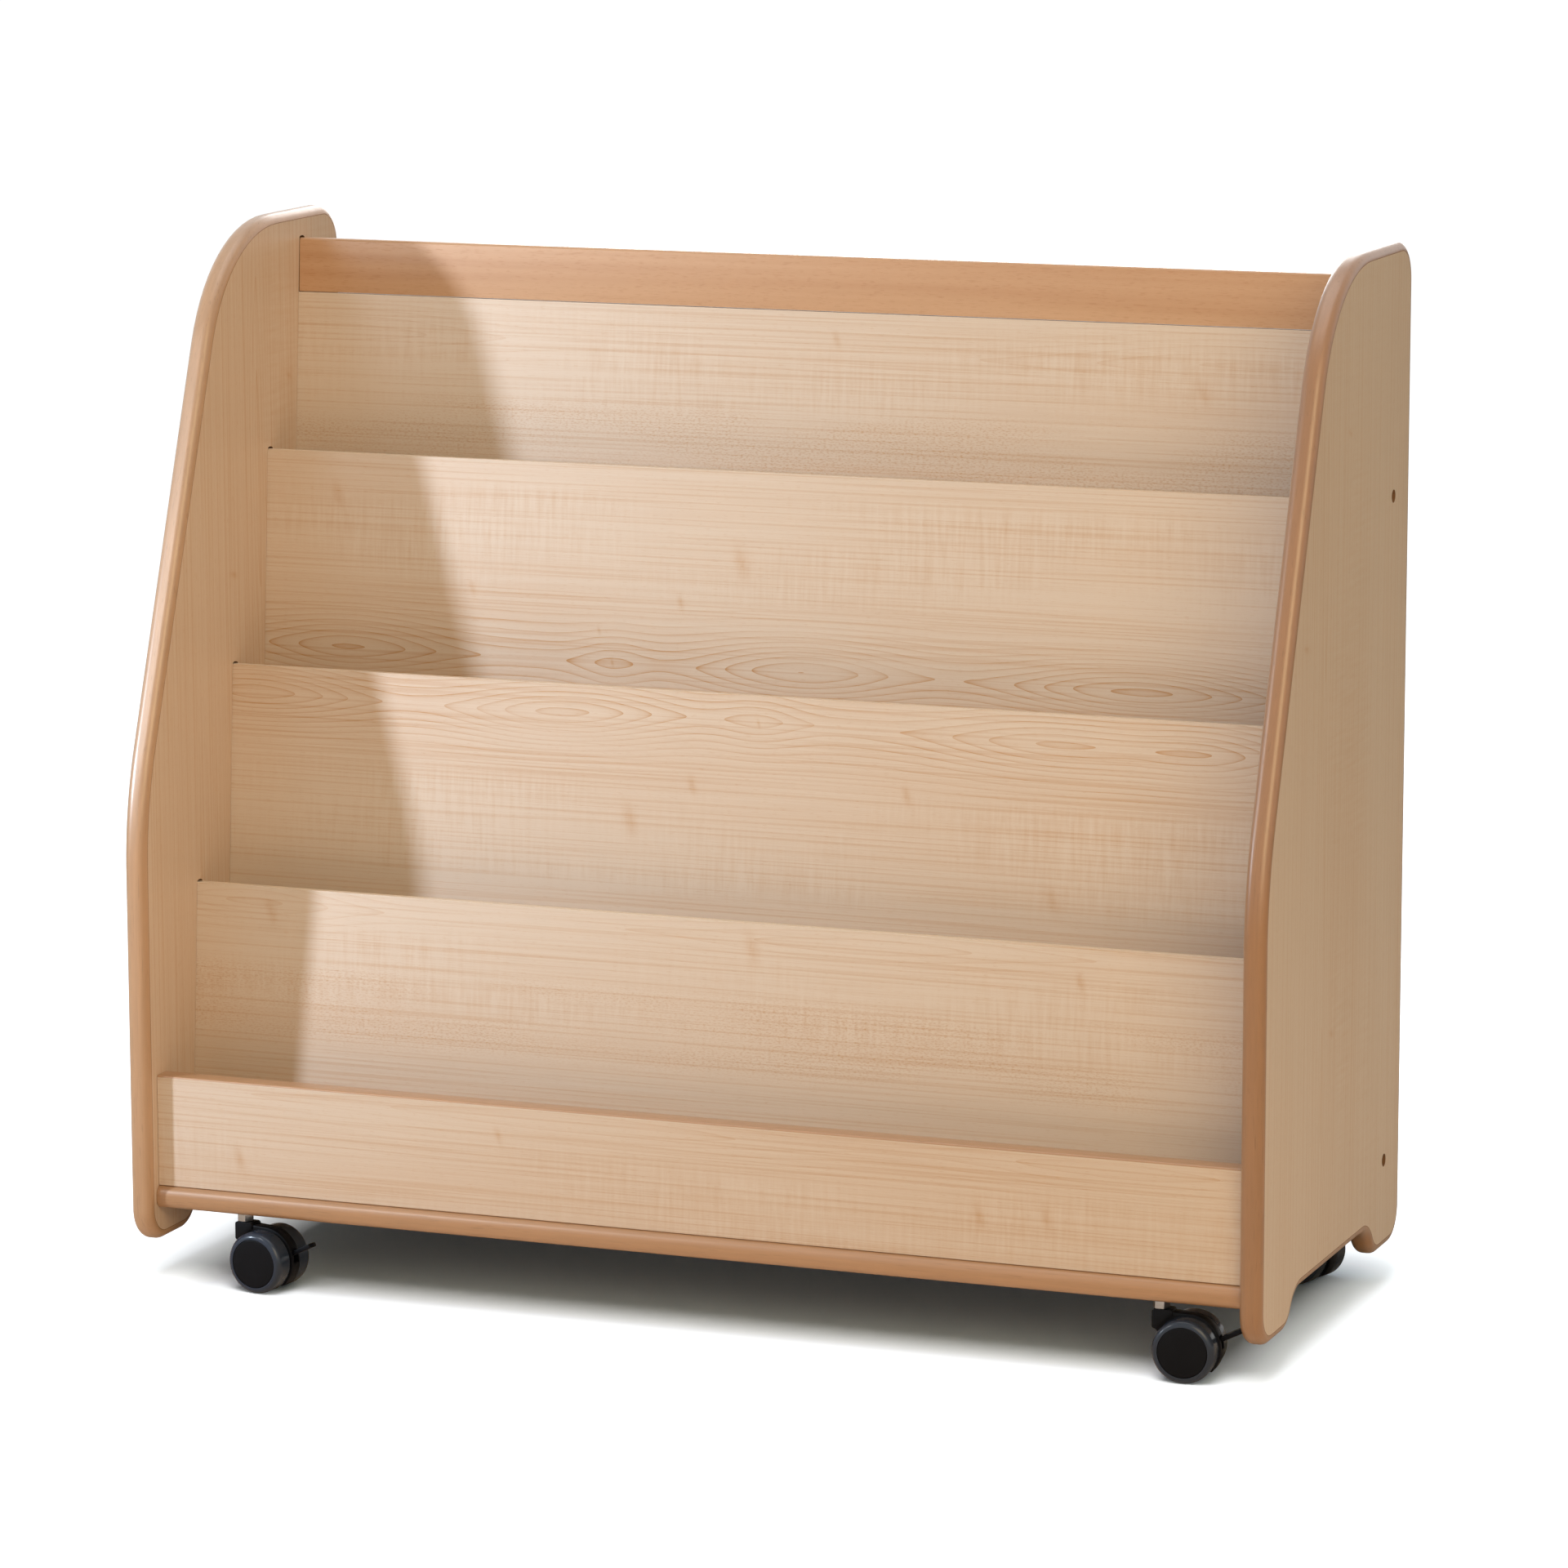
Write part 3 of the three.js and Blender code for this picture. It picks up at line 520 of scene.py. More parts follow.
def maple(name, axes, seed, **changes):
    """Clear-lacquered maple veneer; axes name the grain's direction and the one across it."""
    grain = {**GRAIN, **changes}
    finish = Finish(name, 0.42)
    spot = finish.place()
    along, across = (spot["XYZ".index(axis)] for axis in axes)
    fibre, pore = wood_fibres(finish, along, across, seed)
    mixed = crown_figure(finish, along, across, grain, seed) * grain["figure"]
    mixed = mixed + ripple(finish, along, across, grain["ripple_zone"], seed) * grain["ripple"]
    mixed = mixed + ray_fleck(finish, along, across, grain["fleck_zone"], seed) * grain["fleck"]
    mixed = mixed + paw_marks(finish, along, across, grain["marks"], seed) * grain["paw"]
    tone = finish.noise(along * 1.1, across * 6.0, seed + 13.0, 2.0) - 0.5
    mixed = mixed + fibre * grain["fibre"] + pore * grain["pore"] + tone * grain["tone"] + grain["depth"]
    pale, line = rgba(palette().maple_pale), rgba(palette().maple_line)
    finish.feed("Base Color", finish.mix(pale, line, mixed.clamped()))
    finish.feed("Roughness", 0.40 + fibre * 0.12 + pore * 0.1)
    finish.feed("Coat Roughness", 0.3)
    finish.feed("Coat Weight", 0.08)
    finish.bump(fibre - pore * 0.5, 0.06, 0.0004)
    return finish.material


def side_figure(seed, heart, depth, fibre):
    """Upright grain: fine straight lines with a long faint crown."""
    return dict(
        axes="ZY", seed=seed, heart=heart, depth=depth, fibre=fibre, figure=0.25, ring=0.007,
        crown_zone=(heart, 0.06, 0.05),
        eyes=((0.2, 0.18, 2.4), (0.62, 0.2, 2.8)), ripple_zone=(heart + 0.08, 0.05, 0.04), ripple=0.4,
        marks=((0.24, heart + 0.03, 0.006), (0.55, heart - 0.05, 0.006), (0.7, heart + 0.06, 0.005)),
    )


FIGURES = {
    # Plain lines above, rows of ray fleck below
    "maple_tier_1": dict(
        axes="XZ", seed=1.0, heart=0.735, figure=0.2, ring=0.008, crown_zone=(0.735, 0.03, 0.03),
        eyes=((-0.42, 0.12, 2.0), (0.36, 0.15, 2.5)), marks=((0.325, 0.716, 0.008), (0.02, 0.745, 0.006)),
        ripple_zone=(0.72, 0.02, 0.03), fleck_zone=(0.655, 0.024, 0.014), fleck=0.36,
    ),
    # Curly strip above, a row of eyes along the lower strip, and one small knot
    "maple_tier_2": dict(
        axes="XZ", seed=21.0, heart=0.488, crown_zone=(0.488, 0.045, 0.02),
        eyes=((-0.375, 0.075, 3.5), (-0.145, 0.03, 1.6), (0.02, 0.085, 4.4), (0.3, 0.11, 5.6)),
        marks=((-0.388, 0.61, 0.009), (-0.036, 0.573, 0.012), (-0.268, 0.541, 0.006),
               (-0.087, 0.538, 0.006), (-0.157, 0.512, 0.003), (-0.145, 0.487, 0.003)),
        ripple_zone=(0.583, 0.032, 0.016),
    ),
    # A row of eyes along the upper strip, curly strip below
    "maple_tier_3": dict(
        axes="XZ", seed=43.0, heart=0.456, crown_zone=(0.446, 0.036, 0.02),
        eyes=((-0.43, 0.09, 5.0), (-0.16, 0.09, 4.6), (0.005, 0.035, 1.7), (0.25, 0.085, 3.4),
              (0.37, 0.06, 3.0)),
        marks=((-0.102, 0.373, 0.012), (-0.05, 0.404, 0.007), (0.13, 0.407, 0.007),
               (0.251, 0.334, 0.01), (0.005, 0.456, 0.003)),
        ripple_zone=(0.362, 0.034, 0.016),
    ),
    # Straight lines and paw marks above, rows of ray fleck and some curl below
    "maple_tier_4": dict(
        axes="XZ", seed=67.0, heart=0.3, figure=0.24, ring=0.007, crown_zone=(0.29, 0.022, 0.02),
        eyes=((-0.4, 0.08, 2.6), (0.12, 0.14, 2.0)),
        marks=((0.027, 0.292, 0.011), (0.296, 0.285, 0.007), (-0.386, 0.292, 0.01)),
        ripple_zone=(0.25, 0.02, 0.02), fleck_zone=(0.222, 0.022, 0.016), fleck=0.32,
    ),
    # Straight even lines with a few paw marks
    "maple_lip": dict(
        axes="XZ", seed=85.0, heart=0.16, figure=0.22, ring=0.007, crown_zone=(0.14, 0.05, 0.02),
        eyes=((-0.1, 0.2, 2.2), (0.35, 0.12, 2.0)), ripple_zone=(0.1, 0.025, 0.02), ripple=0.5,
        marks=((-0.38, 0.106, 0.009), (-0.156, 0.144, 0.006), (0.242, 0.114, 0.008), (0.295, 0.119, 0.009)),
    ),
    # The left panel's veneer is mixed further toward the line colour (depth 0.38) as painted shade: its
    # inner face looks away from the key.
    "maple_left": side_figure(seed=103.0, heart=0.03, depth=0.38, fibre=0.36),
    "maple_right": side_figure(seed=127.0, heart=-0.04, depth=0.12, fibre=0.22),
    # Boards that lie flat
    "maple_flat": dict(axes="XY", seed=149.0, heart=0.02, crown_zone=(0.02, 0.05, 0.04), figure=0.25),
}
UPRIGHT_STREAKS = (340.0, 90.0, 16.0)
LEVEL_STREAKS = (16.0, 340.0, 340.0)


def edge_lacquer(name, fine, pale, dark):
    """Solid lipping under satin lacquer; fine gives how closely its streaks lie along x, y and z."""
    finish = Finish(name, 0.36)
    x, y, z = (term * scale for term, scale in zip(finish.place(), fine))
    streak = finish.noise(x, y, z, 3.0, 0.6) - 0.5
    mottle = finish.noise(x * 0.08, y * 0.08, z * 0.3, 2.0) - 0.5
    pore = finish.noise(x * 3.0, y * 3.0, z * 3.0, 1.0).above(0.64, 0.1)
    mixed = 0.25 + streak * 0.6 + mottle * 0.5 + pore * 0.3
    finish.feed("Base Color", finish.mix(rgba(pale), rgba(dark), mixed.clamped()))
    finish.feed("Roughness", 0.34 + streak * 0.1 + pore * 0.12)
    finish.feed("Coat Roughness", 0.34)
    finish.feed("Coat Weight", 0.7)
    finish.bump(streak, 0.05, 0.0003)
    return finish.material


def solid_edge(name, tone, streaks):
    """A lacquered edge in one of the edge colours, its pores and darker grain of the same hue; the left
    panel's colour is paler by painted light, the right panel's darker by painted shade.
    """
    pale = getattr(palette(), tone)
    return edge_lacquer(name, streaks, pale, Vector(pale) * palette().edge_depth)


def pale_lipping(name):
    return edge_lacquer(name, LEVEL_STREAKS, palette().lipping, palette().lipping_dark)


def plain_wood(name, pale, dark, roughness):
    """Small grain without figure, for seams, for the painted shade on tier 1's top edge under the rail, and
    for the raw board in grooves.
    """
    finish = Finish(name, roughness, 0.3)
    x, y, z = finish.place()
    grain = finish.noise(x * 700.0, y * 300.0, z * 300.0, 3.0, 0.6)
    finish.feed("Base Color", finish.mix(rgba(pale), rgba(dark), grain))
    finish.feed("Roughness", roughness + (grain - 0.5) * 0.15)
    finish.bump(grain, 0.1, 0.0003)
    return finish.material


# Dark seam between veneer and edge, also used as painted shade on tier 1's top edge under the rail.
def seam_line(name):
    return plain_wood(name, palette().seam, palette().groove, 0.5)


def raw_groove(name):
    return plain_wood(name, palette().groove, Vector(palette().edge) * palette().edge_depth, 0.8)


def beech(name):
    """Solid beech: even tone, long soft lines and the short dark flecks of its rays."""
    finish = Finish(name, 0.38)
    x, y, z = finish.place()
    line = finish.noise(x * 2.2, y * 140.0, z * 140.0, 3.0, 0.55) - 0.5
    fleck = finish.noise(x * 130.0, y * 1300.0, z * 1300.0, 1.0).above(0.58, 0.12)
    tone = finish.noise(x * 1.4, y * 12.0, z * 22.0, 2.0) - 0.5
    mixed = 0.3 + line * 0.8 + fleck * 0.28 + tone * 0.8
    pale, dark = rgba(palette().beech), rgba(palette().beech_fleck)
    finish.feed("Base Color", finish.mix(pale, dark, mixed.clamped()))
    finish.feed("Roughness", 0.36 + fleck * 0.12)
    finish.feed("Coat Roughness", 0.25)
    finish.feed("Coat Weight", 0.15)
    finish.bump(line - fleck * 0.4, 0.06, 0.0004)
    return finish.material


def moulded(name, fresh, worn, roughness, specular, grain):
    """Moulded plastic or rubber: fine texture, scuffs and a little dust."""
    finish = Finish(name, roughness, specular)
    x, y, z = finish.place()
    texture = finish.noise(x * grain, y * grain, z * grain, 2.0) - 0.5
    scuff = finish.noise(x * 260.0, y * 260.0, z * 90.0, 4.0, 0.65).above(0.56, 0.2)
    dust = finish.noise(x * 45.0, y * 45.0, z * 45.0, 2.0) - 0.5
    mixed = scuff * 0.22 + dust * 0.5 + 0.15
    finish.feed("Base Color", finish.mix(rgba(fresh), rgba(worn), mixed.clamped()))
    finish.feed("Roughness", roughness + scuff * 0.08 + texture * 0.06)
    finish.bump(texture, 0.05, 0.0002)
    return finish.material


def moulded_black(name):
    tones = palette()
    return moulded(name, tones.castor, tones.castor_worn, roughness=0.42, specular=0.12, grain=1500.0)


def tyre_slate(name):
    tones = palette()
    return moulded(name, tones.tyre, tones.tyre_worn, roughness=0.2, specular=0.32, grain=700.0)


def plated_zinc(name):
    """Zinc plate with turning marks and dull patches."""
    finish = Finish(name, 0.3)
    x, y, z = finish.place()
    ring = finish.noise(x * 60.0, y * 60.0, z * 2600.0, 2.0) - 0.5
    dull = finish.noise(x * 160.0, y * 160.0, z * 160.0, 3.0, 0.6)
    finish.feed("Base Color", finish.mix(rgba(palette().steel), rgba(palette().steel_dull), dull))
    finish.feed("Metallic", 1.0)
    finish.feed("Roughness", 0.22 + dull * 0.22 + ring * 0.1)
    finish.bump(ring, 0.08, 0.0001)
    return finish.material


FINISHES = {
    **{name: partial(maple, **figure) for name, figure in FIGURES.items()},
    # Left and right edges differ only by painted light and painted shade.
    "left_edge": partial(solid_edge, tone="edge_left", streaks=UPRIGHT_STREAKS),
    "right_edge": partial(solid_edge, tone="edge_right", streaks=UPRIGHT_STREAKS),
    "level_edge": partial(solid_edge, tone="edge", streaks=LEVEL_STREAKS),
    "pale_lipping": pale_lipping,
    "seam_line": seam_line,
    "raw_groove": raw_groove,
    "beech": beech,
    "moulded_black": moulded_black,
    "tyre_slate": tyre_slate,
    "plated_zinc": plated_zinc,
}


def finish_named(name):
    """A finish by name, made at its first use."""
    return bpy.data.materials.get(name) or FINISHES[name](name)


# Mesh tools


def new_object(name, bm, finishes):
    """Turns a bmesh into an object at the origin, with its finishes in slot order."""
    bmesh.ops.recalc_face_normals(bm, faces=bm.faces)
    mesh = bpy.data.meshes.new(name)
    bm.to_mesh(mesh)
    bm.free()
    for title in finishes:
        mesh.materials.append(finish_named(title))
    made = bpy.data.objects.new(name, mesh)
    bpy.context.scene.collection.objects.link(made)
    return made


def combine(target, tool, operation):
    """Cuts or joins a tool into an object for good, and removes the tool."""
    step = target.modifiers.new("combine", "BOOLEAN")
    step.operation = operation
    step.solver = "EXACT"
    step.object = tool
    graph = bpy.context.evaluated_depsgraph_get()
    result = bpy.data.meshes.new_from_object(target.evaluated_get(graph))
    target.modifiers.clear()
    worn, target.data = target.data, result
    bpy.data.meshes.remove(worn)
    bpy.data.meshes.remove(tool.data)
    if not result.polygons:
        raise RuntimeError(f"{target.name}: nothing left after {operation}")


def soften(target, width, segments=2, limit=SHARP_ANGLE):
    """Rounds the arrises that are sharper than a limit."""
    bm = bmesh.new()
    bm.from_mesh(target.data)
    sharp = [e for e in bm.edges if len(e.link_faces) == 2 and e.calc_face_angle() > limit]
    bmesh.ops.bevel(
        bm, geom=sharp, offset=width, segments=segments, affect="EDGES", profile=0.5,
        clamp_overlap=True, material=-1,
    )
    bm.to_mesh(target.data)
    bm.free()


def shade(target):
    """Smooth faces, with hard lines at sharp arrises and where two finishes meet."""
    bm = bmesh.new()
    bm.from_mesh(target.data)
    for face in bm.faces:
        face.smooth = True
    for edge in bm.edges:
        pair = edge.link_faces
        same = len(pair) == 2 and pair[0].material_index == pair[1].material_index
        edge.smooth = same and edge.calc_face_angle() < SHARP_ANGLE
    bm.to_mesh(target.data)
    bm.free()


def hand_over(piece, body, slot, *nodes):
    """The piece rides on its body and stands for its nodes, which it hides; its slot is not used."""
    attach(piece, body)
    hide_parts(*nodes)
    return piece


def arc(centre, radius, start, end, steps):
    """Points on an arc in a plane, both ends included."""
    spread = [start + (end - start) * i / steps for i in range(steps + 1)]
    return [(centre[0] + radius * math.cos(a), centre[1] + radius * math.sin(a)) for a in spread]


def circle(centre, radius, steps):
    """Points once round a circle."""
    return arc(centre, radius, 0, FULL_TURN * (1 - 1 / steps), steps - 1)


def rounded(corners, radii, steps=4):
    """A closed polygon with rounded corners, and which corner each point belongs to."""
    points = []
    for i, (corner, radius) in enumerate(zip(corners, radii)):
        here = Vector(corner)
        before = (Vector(corners[i - 1]) - here).normalized()
        after = (Vector(corners[(i + 1) % len(corners)]) - here).normalized()
        half = before.angle(after) / 2
        centre = here + (before + after).normalized() * (radius / math.sin(half))
        start = here + before * (radius / math.tan(half)) - centre
        end = here + after * (radius / math.tan(half)) - centre
        for step in range(steps + 1):
            spoke = start.slerp(end, step / steps).normalized() * radius
            points.append(((centre + spoke)[:], i))
    return points


def bridge(bm, near, far, zones):
    """Faces between two rings of points; zones gives each face's finish number."""
    for i, zone in enumerate(zones):
        j = (i + 1) % len(near)
        side = bm.faces.new((near[i], far[i], far[j], near[j]))
        side.material_index = zone


def extruded(points, low, high, axis="X", zones=None):
    """A closed section carried straight along an axis; zones gives each side's finish number."""
    def spot(point, depth):
        first, second = point
        return (depth, first, second) if axis == "X" else (first, depth, second)

    bm = bmesh.new()
    near = [bm.verts.new(spot(p, low)) for p in points]
    far = [bm.verts.new(spot(p, high)) for p in points]
    bm.faces.new(near)
    bm.faces.new(reversed(far))
    bridge(bm, near, far, zones or [FACE] * len(points))
    return bm


def lathed(profile, steps, axis="Y"):
    """A profile of (radius, height) points turned about an axis; it starts and ends on the axis."""
    bm = bmesh.new()
    rings = []
    for radius, height in profile:
        if radius < ON_AXIS:
            rings.append([bm.verts.new((0, height, 0) if axis == "Y" else (0, 0, height))])
            continue
        ring = []
        for i in range(steps):
            turn = FULL_TURN * i / steps
            a, b = radius * math.cos(turn), radius * math.sin(turn)
            ring.append(bm.verts.new((a, height, b) if axis == "Y" else (a, b, height)))
        rings.append(ring)
    for low, high in zip(rings, rings[1:]):
        for i in range(steps):
            j = (i + 1) % steps
            loop = [low[i % len(low)], low[j % len(low)], high[j % len(high)], high[i % len(high)]]
            bm.faces.new(dict.fromkeys(loop))
    return bm


def rod(name, radius, centre, low, high, axis, finishes, steps=40):
    """A plain round cutter or pin along an axis."""
    if axis != "Z":
        return new_object(name, extruded(circle(centre, radius, steps), low, high, axis), finishes)
    bm = lathed([(0, low), (radius, low), (radius, high), (0, high)], steps, "Z")
    bmesh.ops.translate(bm, verts=bm.verts, vec=(*centre, 0))
    return new_object(name, bm, finishes)


# Boards


def outline_arcs(sizes, low, high):
    """Arcs of the side panel's outline, from the front foot round: centre, radius, start, end, and bulge."""
    front, back, bottom, top = low.y, high.y, low.z, high.z
    sweep = math.acos(1 - (sizes.arch_height - bottom) / (2 * sizes.sweep_radius))
    run = 2 * sizes.sweep_radius * math.sin(sweep)
    foot_z = bottom + sizes.sweep_radius
    arch_z = sizes.arch_height - sizes.sweep_radius
    toe, heel = front + sizes.foot_length, back - sizes.foot_length
    knee_y = front + sizes.knee_radius
    knee_top_y = knee_y - sizes.knee_radius * math.cos(sizes.slant)
    knee_top_z = sizes.knee_height + sizes.knee_radius * math.sin(sizes.slant)
    crown_z = top - sizes.crown_radius
    rise = (crown_z - knee_top_z) * math.sin(sizes.slant)
    crown_y = knee_top_y + (sizes.crown_radius + rise) / math.cos(sizes.slant)
    corner, sweep_r = sizes.foot_corner, sizes.sweep_radius
    return (
        ((front + corner, bottom + corner), corner, 2 * QUARTER, 3 * QUARTER, 1),
        ((toe, foot_z), sweep_r, 3 * QUARTER, 3 * QUARTER + sweep, 1),
        ((toe + run, arch_z), sweep_r, QUARTER + sweep, QUARTER, -1),
        ((heel - run, arch_z), sweep_r, QUARTER, QUARTER - sweep, -1),
        ((heel, foot_z), sweep_r, 3 * QUARTER - sweep, 3 * QUARTER, 1),
        ((back - corner, bottom + corner), corner, 3 * QUARTER, 4 * QUARTER, 1),
        ((back - sizes.back_corner, top - sizes.back_corner), sizes.back_corner, 0, QUARTER, 1),
        ((crown_y, crown_z), sizes.crown_radius, QUARTER, 2 * QUARTER - sizes.slant, 1),
        ((knee_y, sizes.knee_height), sizes.knee_radius, 2 * QUARTER - sizes.slant, 2 * QUARTER, 1),
    )


def panel_outline(sizes, low, high):
    """Points of the side panel's outline, with the outward normal at each."""
    outline = []
    for centre, radius, start, end, bulge in outline_arcs(sizes, low, high):
        for point in arc(centre, radius, start, end, ARC_STEPS):
            spoke = (Vector(point) - Vector(centre)) / radius * bulge
            outline.append((Vector(point), spoke))
    return outline


def edge_rings(thickness, radius, seam, steps=8):
    """Rings of a rounded board edge as (inset, place through the thickness, finish of the strip after)."""
    rings = [(radius + seam, 0.0, SEAM)]
    for step in range(steps + 1):
        turn = QUARTER * step / steps
        rings.append((radius * (1 - math.sin(turn)), radius * (1 - math.cos(turn)), EDGE))
    mirrored = [(inset, thickness - through, EDGE) for inset, through, _ in reversed(rings)]
    mirrored[-2] = (*mirrored[-2][:2], SEAM)
    return rings + mirrored


def panel_slab(boards, outline, outer, inner):
    """The side panel before its grooves: veneer on both faces, seam strips and a rounded solid edge."""
    thickness = abs(outer - inner)
    rings = edge_rings(thickness, boards.edge_round, boards.seam)
    bm = bmesh.new()
    loops = []
    for inset, through, _ in rings:
        x = outer + (inner - outer) * through / thickness
        loops.append([bm.verts.new((x, *(point - normal * inset))) for point, normal in outline])
    bm.faces.new(loops[0])
    bm.faces.new(reversed(loops[-1]))
    for near, far, (_, _, zone) in zip(loops, loops[1:], rings):
        bridge(bm, near, far, [zone] * len(outline))
    return bm


def set_zone(bm, zone):
    """Gives all faces one finish number."""
    for face in bm.faces:
        face.material_index = zone
    return bm


def tier_groove(boards, number):
    """Section of a tier's groove: round over the tier's top, and open past its foot."""
    lean, play = boards.lean, boards.groove_play
    down = Vector((-math.sin(lean), -math.cos(lean)))
    behind = Vector((math.cos(lean), -math.sin(lean)))
    low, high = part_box(f"tier_panel_{number}")
    tip = Vector((high.y - boards.tier_board * math.cos(lean), high.z))
    if number == 1:
        tip -= down * (boards.rail_height + play)
    end = tip + down * ((tip.y - low.z) / math.cos(lean) + boards.groove_overrun)
    middle = tip + behind * boards.tier_board / 2
    section = []
    for across, rise in arc((0, 0), 1, 0, math.pi, 16):
        wide = behind * across * (boards.tier_board / 2 + play)
        section.append((middle + wide - down * rise * boards.groove_crown)[:])
    return section + [(end - behind * play)[:], (end + behind * (boards.tier_board + play))[:]]


def ledge_groove(boards, number):
    """Section of a ledge's groove, open past its front."""
    low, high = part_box(f"ledge_{number}")
    play, front = boards.groove_play, low.y - boards.groove_overrun
    return [
        (front, low.z - play), (high.y + play, low.z - play),
        (high.y + play, high.z + play), (front, high.z + play),
    ]


def groove_tools(boards, inner, deep):
    """Cutters for the tiers and ledges in a side panel."""
    sections = [tier_groove(boards, number) for number in TIERS]
    sections += [ledge_groove(boards, number) for number in LEDGES]
    return [set_zone(extruded(section, *sorted((inner, deep))), RAW) for section in sections]


def side_panel(context, side):
    """One side panel: routed outline, rounded edge, grooves for tiers and ledges, two link holes."""
    display = context.scene.book_display
    boards, sizes = display.boards, display.outline
    node = f"{side}_side_panel"
    low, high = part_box(node)
    outer, inner = (low.x, high.x) if side == "left" else (high.x, low.x)
    away = math.copysign(1, inner - outer)
    # The edge finish carries painted light on the left panel and painted shade on the right panel.
    finishes = [f"maple_{side}", "seam_line", f"{side}_edge", "raw_groove"]
    outline = panel_outline(sizes, low, high)
    panel = new_object(node + "_fine", panel_slab(boards, outline, outer, inner), finishes)
    clear = inner + away * CUT_PAST
    for tool in groove_tools(boards, clear, inner - away * boards.groove_depth):
        combine(panel, new_object("groove", tool, finishes), "DIFFERENCE")
    for height in (sizes.upper_hole, sizes.lower_hole):
        centre = (high.y - sizes.hole_inset, height)
        points = circle(centre, sizes.hole_radius, 48)
        hole = set_zone(extruded(points, *sorted((clear, outer - away * CUT_PAST))), RAW)
        combine(panel, new_object("hole", hole, finishes), "DIFFERENCE")
    shade(panel)
    return hand_over(panel, "carcass", "maple_board", node)


def thin_board(node, corners, radii, finishes, zone_of):
    """A board of small rounded section between the side panels; zone_of gives each side's finish."""
    low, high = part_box(node)
    points = rounded(corners, radii)
    zones = []
    for i, (_, corner) in enumerate(points):
        in_corner = points[(i + 1) % len(points)][1] == corner
        zones.append(zone_of(corner, in_corner))
    section = [point for point, _ in points]
    board = new_object(node + "_fine", extruded(section, low.x, high.x, "X", zones), finishes)
    shade(board)
    return hand_over(board, "carcass", "maple_board", node)


def plain_zone(corner, in_corner):
    """One finish all round a thin board."""
    return 0


def tier_zone(corner, in_corner):
    """A second finish on a tier's top edge."""
    return int(corner == 3)


def leaning_corners(boards, low, high, thick):
    """Corners of a leaning board's section that fills a box: top front, then down and round."""
    lean = boards.lean
    across = thick * math.cos(lean)
    drop = thick * math.sin(lean)
    return [
        (high.y - across, high.z), (low.y, low.z + drop),
        (low.y + across, low.z), (high.y, high.z - drop),
    ]


def tier_panel(context, number):
    """One leaning tier: figured veneer in front and behind, and pale lipping on top; tier 1's top, under the
    rail, takes the dark seam colour as painted shade of the gap there.
    """
    boards = context.scene.book_display.boards
    node = f"tier_panel_{number}"
    low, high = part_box(node)
    corners = leaning_corners(boards, low, high, boards.tier_board)
    # Tier 1's top edge is painted dark as the shade of the gap under the rail.
    finishes = [f"maple_tier_{number}", "seam_line" if number == 1 else "pale_lipping"]
    return thin_board(node, corners, [boards.arris] * 4, finishes, tier_zone)


def box_corners(low, high):
    """Corners of an upright board's section: top front, then down and round."""
    return [(low.y, high.z), (low.y, low.z), (high.y, low.z), (high.y, high.z)]


class BOOKDISPLAY_OT_side_panels(bpy.types.Operator):
    """Build both side panels"""

    bl_idname = "bookdisplay.side_panels"
    bl_label = "Side Panels"

    def execute(self, context):
        for side in ("left", "right"):
            side_panel(context, side)
        return {"FINISHED"}


class BOOKDISPLAY_OT_tiers(bpy.types.Operator):
    """Build the four tiers and the three pocket floors"""

    bl_idname = "bookdisplay.tiers"
    bl_label = "Tiers and Ledges"

    def execute(self, context):
        boards = context.scene.book_display.boards
        for number in TIERS:
            tier_panel(context, number)
        for number in LEDGES:
            node = f"ledge_{number}"
            corners = box_corners(*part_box(node))
            thin_board(node, corners, [boards.arris] * 4, ["maple_flat"], plain_zone)
        return {"FINISHED"}


class BOOKDISPLAY_OT_rail(bpy.types.Operator):
    """Build the beech rail along the top"""

    bl_idname = "bookdisplay.rail"
    bl_label = "Top Rail"

    def execute(self, context):
        boards = context.scene.book_display.boards
        low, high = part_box("top_rail")
        corners = leaning_corners(boards, low, high, boards.rail_thick)
        eased = [boards.rail_ease, boards.arris, boards.arris, boards.rail_ease]
        rail = thin_board("top_rail", corners, eased, ["beech"], plain_zone)
        return {"FINISHED"}


class BOOKDISPLAY_OT_base(bpy.types.Operator):
    """Build the base shelf and the front lip that stands on it"""

    bl_idname = "bookdisplay.base"
    bl_label = "Base and Lip"

    def execute(self, context):
        boards = context.scene.book_display.boards
        faced = ["maple_flat", "level_edge"]

        def base_zone(corner, in_corner):
            return int(in_corner or corner in (0, 2))

        def lip_zone(corner, in_corner):
            return int(corner == 3 or (in_corner and corner == 0))

        base = box_corners(*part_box("base_shelf"))
        thin_board("base_shelf", base, [boards.edge_round] * 4, faced, base_zone)
        lip = box_corners(*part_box("front_lip"))
        eased = [boards.lip_ease, boards.arris, boards.arris, boards.lip_ease]
        thin_board("front_lip", lip, eased, ["maple_lip", "level_edge"], lip_zone)
        return {"FINISHED"}


# Castors


def castor_frame(corner):
    """Where a castor stands: its stem on the origin, x along its trail, and the axle's place in it."""
    stem_low, stem_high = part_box(f"{corner}_stem")
    axle_low, axle_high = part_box(f"{corner}_axle")
    stem = (stem_low + stem_high) / 2
    axle = (axle_low + axle_high) / 2
    trail = Vector((axle.x - stem.x, axle.y - stem.y))
    turn = math.atan2(trail.y, trail.x)
    place = Matrix.Translation((stem.x, stem.y, 0)) @ Matrix.Rotation(turn, 4, "Z")
    return place, trail.length, axle.z


def settle(piece, place, body, slot, *nodes):
    """Moves a piece's mesh from the castor's frame to its place, and hands it over."""
    piece.data.transform(place)
    shade(piece)
    return hand_over(piece, body, slot, *nodes)


